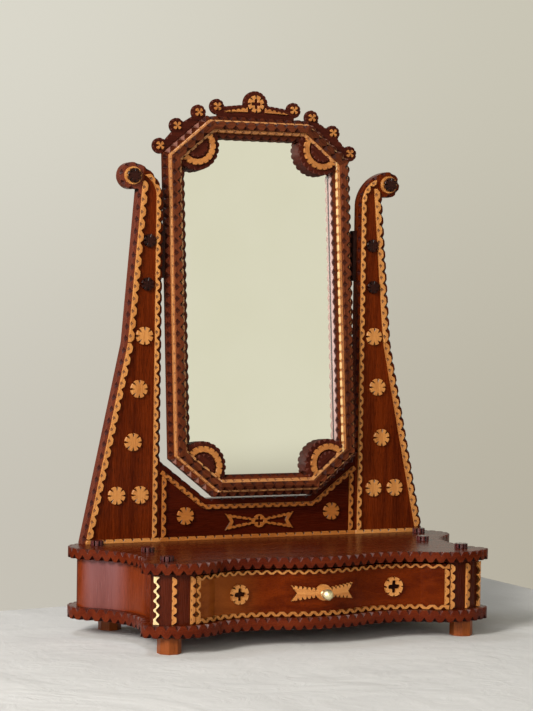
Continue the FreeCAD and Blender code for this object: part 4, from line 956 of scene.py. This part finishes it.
def octagon(inset):
    """Corners of the frame's outline moved inwards, anticlockwise from the top of the right side."""
    wide, tall = HALF_WIDE - inset, HALF_TALL - inset
    reach = HALF_WIDE * CLIP_DOWN + (HALF_TALL - CLIP_DOWN) * CLIP_ACROSS
    reach -= inset * math.hypot(CLIP_ACROSS, CLIP_DOWN)
    upper = [(wide, (reach - wide * CLIP_DOWN) / CLIP_ACROSS),
             ((reach - tall * CLIP_ACROSS) / CLIP_DOWN, tall)]
    upper += [(-x, y) for x, y in reversed(upper)]
    return [Vector((x, y + FRAME_MIDDLE)) for x, y in upper + [(-x, -y) for x, y in upper]]


def frame_layer(name, inset, width, low, high, outer_cut, inner_cut):
    """Eight mitred strips; each cut is its pitch, depth at the arris, share, depth right through and
    whether it comes late."""
    carving = Carving(name, MIRROR)
    outer, inner = octagon(inset), octagon(inset + width)
    for i in range(8):
        columns = []
        for a, b, (pitch, deep, share, through, late) in ((outer[i - 1], outer[i], outer_cut),
                                                          (inner[i], inner[i - 1], inner_cut)):
            columns += cut_run([a, b], pitch, deep, share, through=through, late=late) + uncut([b])
        carving.block([columns], low, high, drop=max(outer_cut[1], inner_cut[1]),
                      along=outer[i] - outer[i - 1])
    return carving


def pale_walls(finish, spot, tone, colour):
    """Nearly white paint on the walls beside the glass, in place of light from the window, down to a
    dark line in the joint with the glass, a painted shadow."""
    inner = spot[0].between(0.0988, 0.0996) * spot[0].between(0.1018, 0.1008)
    height = spot[2] * math.sin(LEAN) - spot[1] * math.cos(LEAN) + 0.05183
    colour = finish.mix(inner * 0.9, colour, (0.38, 0.235, 0.215))
    # A painted shadow line at the foot of the walls, where they meet the glass.
    return finish.mix(inner * height.between(-0.0032, -0.0038), colour, (0.012, 0.003, 0.005))


base_wood = wood("frame_mahogany", (0.036, 0.005, 0.001), (0.130, 0.025, 0.008), shine=0.27,
                 gloss=0.1, chip=(0.024, 0.004, 0.002), coat=0.06, patina=pale_walls)
frame_wood = wood("frame_mahogany_top", (0.030, 0.005, 0.001), (0.165, 0.038, 0.013), shine=0.27,
                  gloss=0.08, chip=(0.022, 0.004, 0.002), coat=0.04)


def pale_arris(finish, spot, tone, colour):
    """Paler paint on the strip's inner edge on the right stile, in place of light from the window."""
    edge = spot[0].between(0.1050, 0.1054) * spot[0].between(0.1068, 0.1063)
    return finish.mix(edge * (tone * 0.3 + 0.7), colour, (0.80, 0.57, 0.26))


frame_pale = wood("satinwood_frame", (0.40, 0.145, 0.040), (0.66, 0.300, 0.100), shine=0.28,
                  gloss=0.4, pores=0.5, chip=(0.16, 0.05, 0.015), patina=pale_arris)
carving = frame_layer("frame_base_notched", 0, 27.3, BASE_LOW, BASE_HIGH, (12.3, 5.4, 0.74, 0, False),
                      (12.5, 4.0, 0.8, 0, False))
# Notch facets on the base layer's four diagonal members are marked 2, for a painted highlight where the
# window's light falls on them.
for face in carving.bm.faces:
    middle = face.calc_center_median()
    high_or_low = abs(middle.y - FRAME_MIDDLE) > HALF_TALL - CLIP_DOWN
    if face[carving.cut] and high_or_low and abs(middle.x) > 72:
        face[carving.cut] = 2
carving.finish(base_wood, "mirror", "frame_base_layer", "mahogany")
carving = frame_layer("frame_middle_notched", 5.7, 15.5, BASE_HIGH, MIDDLE_HIGH,
                      (12.0, 1.7, 0.26, 0, False), (11.5, 1.8, 0.40, 0.9, False))
carving.finish(frame_pale, "mirror", "frame_middle_layer", "satinwood", arris=0.7)
carving = frame_layer("frame_top_notched", 8.2, 9.2, MIDDLE_HIGH, TOP_HIGH,
                      (13.9, 4.6, 0.62, 0, False), (13.9, 4.8, 0.66, 0, True))
carving.finish(frame_wood, "mirror", "frame_top_layer", "dark_mahogany")


# ---------------- corner brackets
# In each corner a thick dark half-disc with a fluted rim, a pale half-ring notched round its outer edge,
# and a raised dark half-disc chip-carved along its rim.
def rim(spot, face, radius, near, sign=1):
    """Points round a disc from side to side of the way it faces, down to a height over its centre."""
    side = Vector((-face.y, face.x)) * sign
    start = math.acos(near / radius)
    turns = [start * (i / 20 - 1) for i in range(41)]
    return [spot + face * radius * math.cos(a) + side * radius * math.sin(a) for a in turns]


def half_disc(spot, face, radius, pitch, deep, through, near, foot):
    """Columns of a disc cut off straight: its notched rim ends at a height over the disc's centre line,
    its straight side lies between two foot points (how far along, how high)."""
    side = Vector((-face.y, face.x))
    run = rim(spot, face, radius, near)
    ends = [run[-1], spot + side * foot[0] + face * foot[1], spot - side * foot[0] + face * foot[1]]
    return cut_run(run, pitch, deep, share=0.6, through=through) + uncut(ends)


def half_ring(spot, face, radius, width, pitch, deep, near):
    """Columns of half a ring, V-cut right through from outside and nicked from inside."""
    columns = []
    for reach, sign, cut, share in ((radius, 1, deep, 0.36), (radius - width, -1, deep * 0.3, 0.3)):
        run = rim(spot, face, reach, near, sign)
        columns += cut_run(run, pitch * reach / radius, cut, share, through=cut) + uncut(run[-1:])
    return columns


BRACKET_FACE = 7.0
field = octagon(18.7)
spots = [((field[i] + field[i + 1]) / 2, Vector((CLIP_DOWN * x, CLIP_ACROSS * y)).normalized())
         for i, x, y in ((0, -1, -1), (2, 1, -1), (4, 1, 1), (6, -1, 1))]
bracket_wood = wood("bracket_mahogany", (0.028, 0.004, 0.002), (0.075, 0.013, 0.006), shine=0.5,
                    gloss=0.06, chip=(0.090, 0.022, 0.013), coat=0.2)
carving = Carving("corner_brackets_fluted", MIRROR)
rings = Carving("bracket_rings_notched", MIRROR)
for spot, face in spots:
    along = Vector((-face.y, face.x))
    for outline, low, high, drop in (
            (half_disc(spot, face, 31.3, 8.2, 0, 0.12, 11.9, (26.2, 8.7)), BASE_LOW, BASE_HIGH, 0),
            (half_disc(spot, face, 31.3, 8.2, 3.0, 0.5, 3.2, (30.3, 2.0)), BASE_HIGH, BRACKET_FACE, 3.0),
            (half_disc(spot, face, 15.4, 6.5, 3.2, 0, 3.2, (15.1, 2.4)), BRACKET_FACE, 10.0, 2.6)):
        carving.block([outline], low, high, drop=drop, along=along)
    rings.block([half_ring(spot, face, 25.2, 7.4, 8.2, 1.6, 2.0)], BRACKET_FACE, 10.5, along=along)
carving.finish(bracket_wood, "mirror", "corner_brackets", "dark_mahogany")
ring_wood = wood("satinwood_rings", (0.34, 0.115, 0.026), (0.54, 0.215, 0.054), shine=0.32,
                 pores=0.5, chip=(0.17, 0.055, 0.014), hollow=0.3)
rings.finish(ring_wood, "mirror", "bracket_rings", "satinwood")


# ---------------- crest
# Thin dark plates set on the outer edges of the frame, with round heads; each head carries a pale
# four-petalled disc, the middle one a rosette pierced with a cross between two notched wedges.
FRAME_TOP, CREST_FACE, CROSS_FACE = HALF_TALL + FRAME_MIDDLE, -1.5, 1.0


def seated(spot):
    """The crest's foot on the frame's top member is never notched."""
    return spot.y < FRAME_TOP + 0.5 and abs(spot.x) < 60


for name in ("crest_centre", "crest_corner_left", "crest_corner_right"):
    carving = Carving(name + "_notched", MIRROR)
    plan = outlines(name, MIRROR, (BASE_LOW + CREST_FACE) / 2)[0]
    carving.block([notched(plan, 6.4, 2.2, plain=seated)], BASE_LOW, CREST_FACE, drop=2.0)
    carving.finish(bracket_wood, "mirror", name, "dark_mahogany")

clip, out = Vector((CLIP_ACROSS, -CLIP_DOWN)).normalized(), Vector((CLIP_DOWN, CLIP_ACROSS)).normalized()
corner = Vector((HALF_WIDE - CLIP_ACROSS, FRAME_TOP))
heads = [Vector((52.6, FRAME_TOP + 12.9)), corner + clip * 3.5 + out * 8.6,
         corner + clip * 37.64 + out * 13.6, corner + clip * 71.79 + out * 8.6]
CROSS_PETAL = ((0.0, 4.3), (0.19, 1.2), (0.31, 0.1), (0.5, 0.0), (0.69, 0.1), (0.81, 1.2))
carving = Carving("crest_crosses_petalled", MIRROR)
for sign in (-1, 1):
    for head in heads:
        carving.block([petalled((sign * head.x, head.y), 5.6, 4, turn=0, profile=CROSS_PETAL)],
                      CREST_FACE, CROSS_FACE)
carving.finish(ring_wood, "mirror", "crest_crosses", "satinwood")

carving = Carving("crest_rosette_pierced", MIRROR)
eye = (0, FRAME_TOP + 18.1)
carving.block([petalled(eye, ROSETTE_RADIUS, 8, depth=0.8), cross_hole(eye, 6.5, 2.6)],
              CREST_FACE, CROSS_FACE)
carving.finish(pale_wood, "mirror", "crest_rosette", "satinwood", arris=0.5)

carving = Carving("crest_wedges_notched", MIRROR)
foot = FRAME_TOP + 7.5
right = [Vector((12, foot)), Vector((44.5, foot)), Vector((12, foot + 6))]
columns = uncut(right[:1]) + cut_run(right[1:], 6.6, 0, share=0.6, through=2.0) + uncut(right[2:])
carving.block([columns], CREST_FACE, CROSS_FACE)
mirrored = uncut((-spot.x, spot.y) for spot, _, _, _ in reversed(columns))
carving.block([mirrored], CREST_FACE, CROSS_FACE)
carving.finish(ring_wood, "mirror", "crest_wedges", "satinwood")


# ---------------- looking glass and its back
# A silvered plate in the rebate, held by a softwood frame and a thin backboard screwed over it.
glass, finish = surface("looking_glass", {"Metallic": 1.0, "Specular IOR Level": 0.5})
age = finish.noise(finish.on_piece(), 9.0, 4.0)
finish.shade("Base Color", finish.mix(age.between(0.3, 0.75), (0.87, 0.865, 0.80), (0.85, 0.845, 0.77)))
finish.shade("Roughness", age * 0.02)
dress(["glass"], glass)
dress(["back_frame", "backboard"], pine)
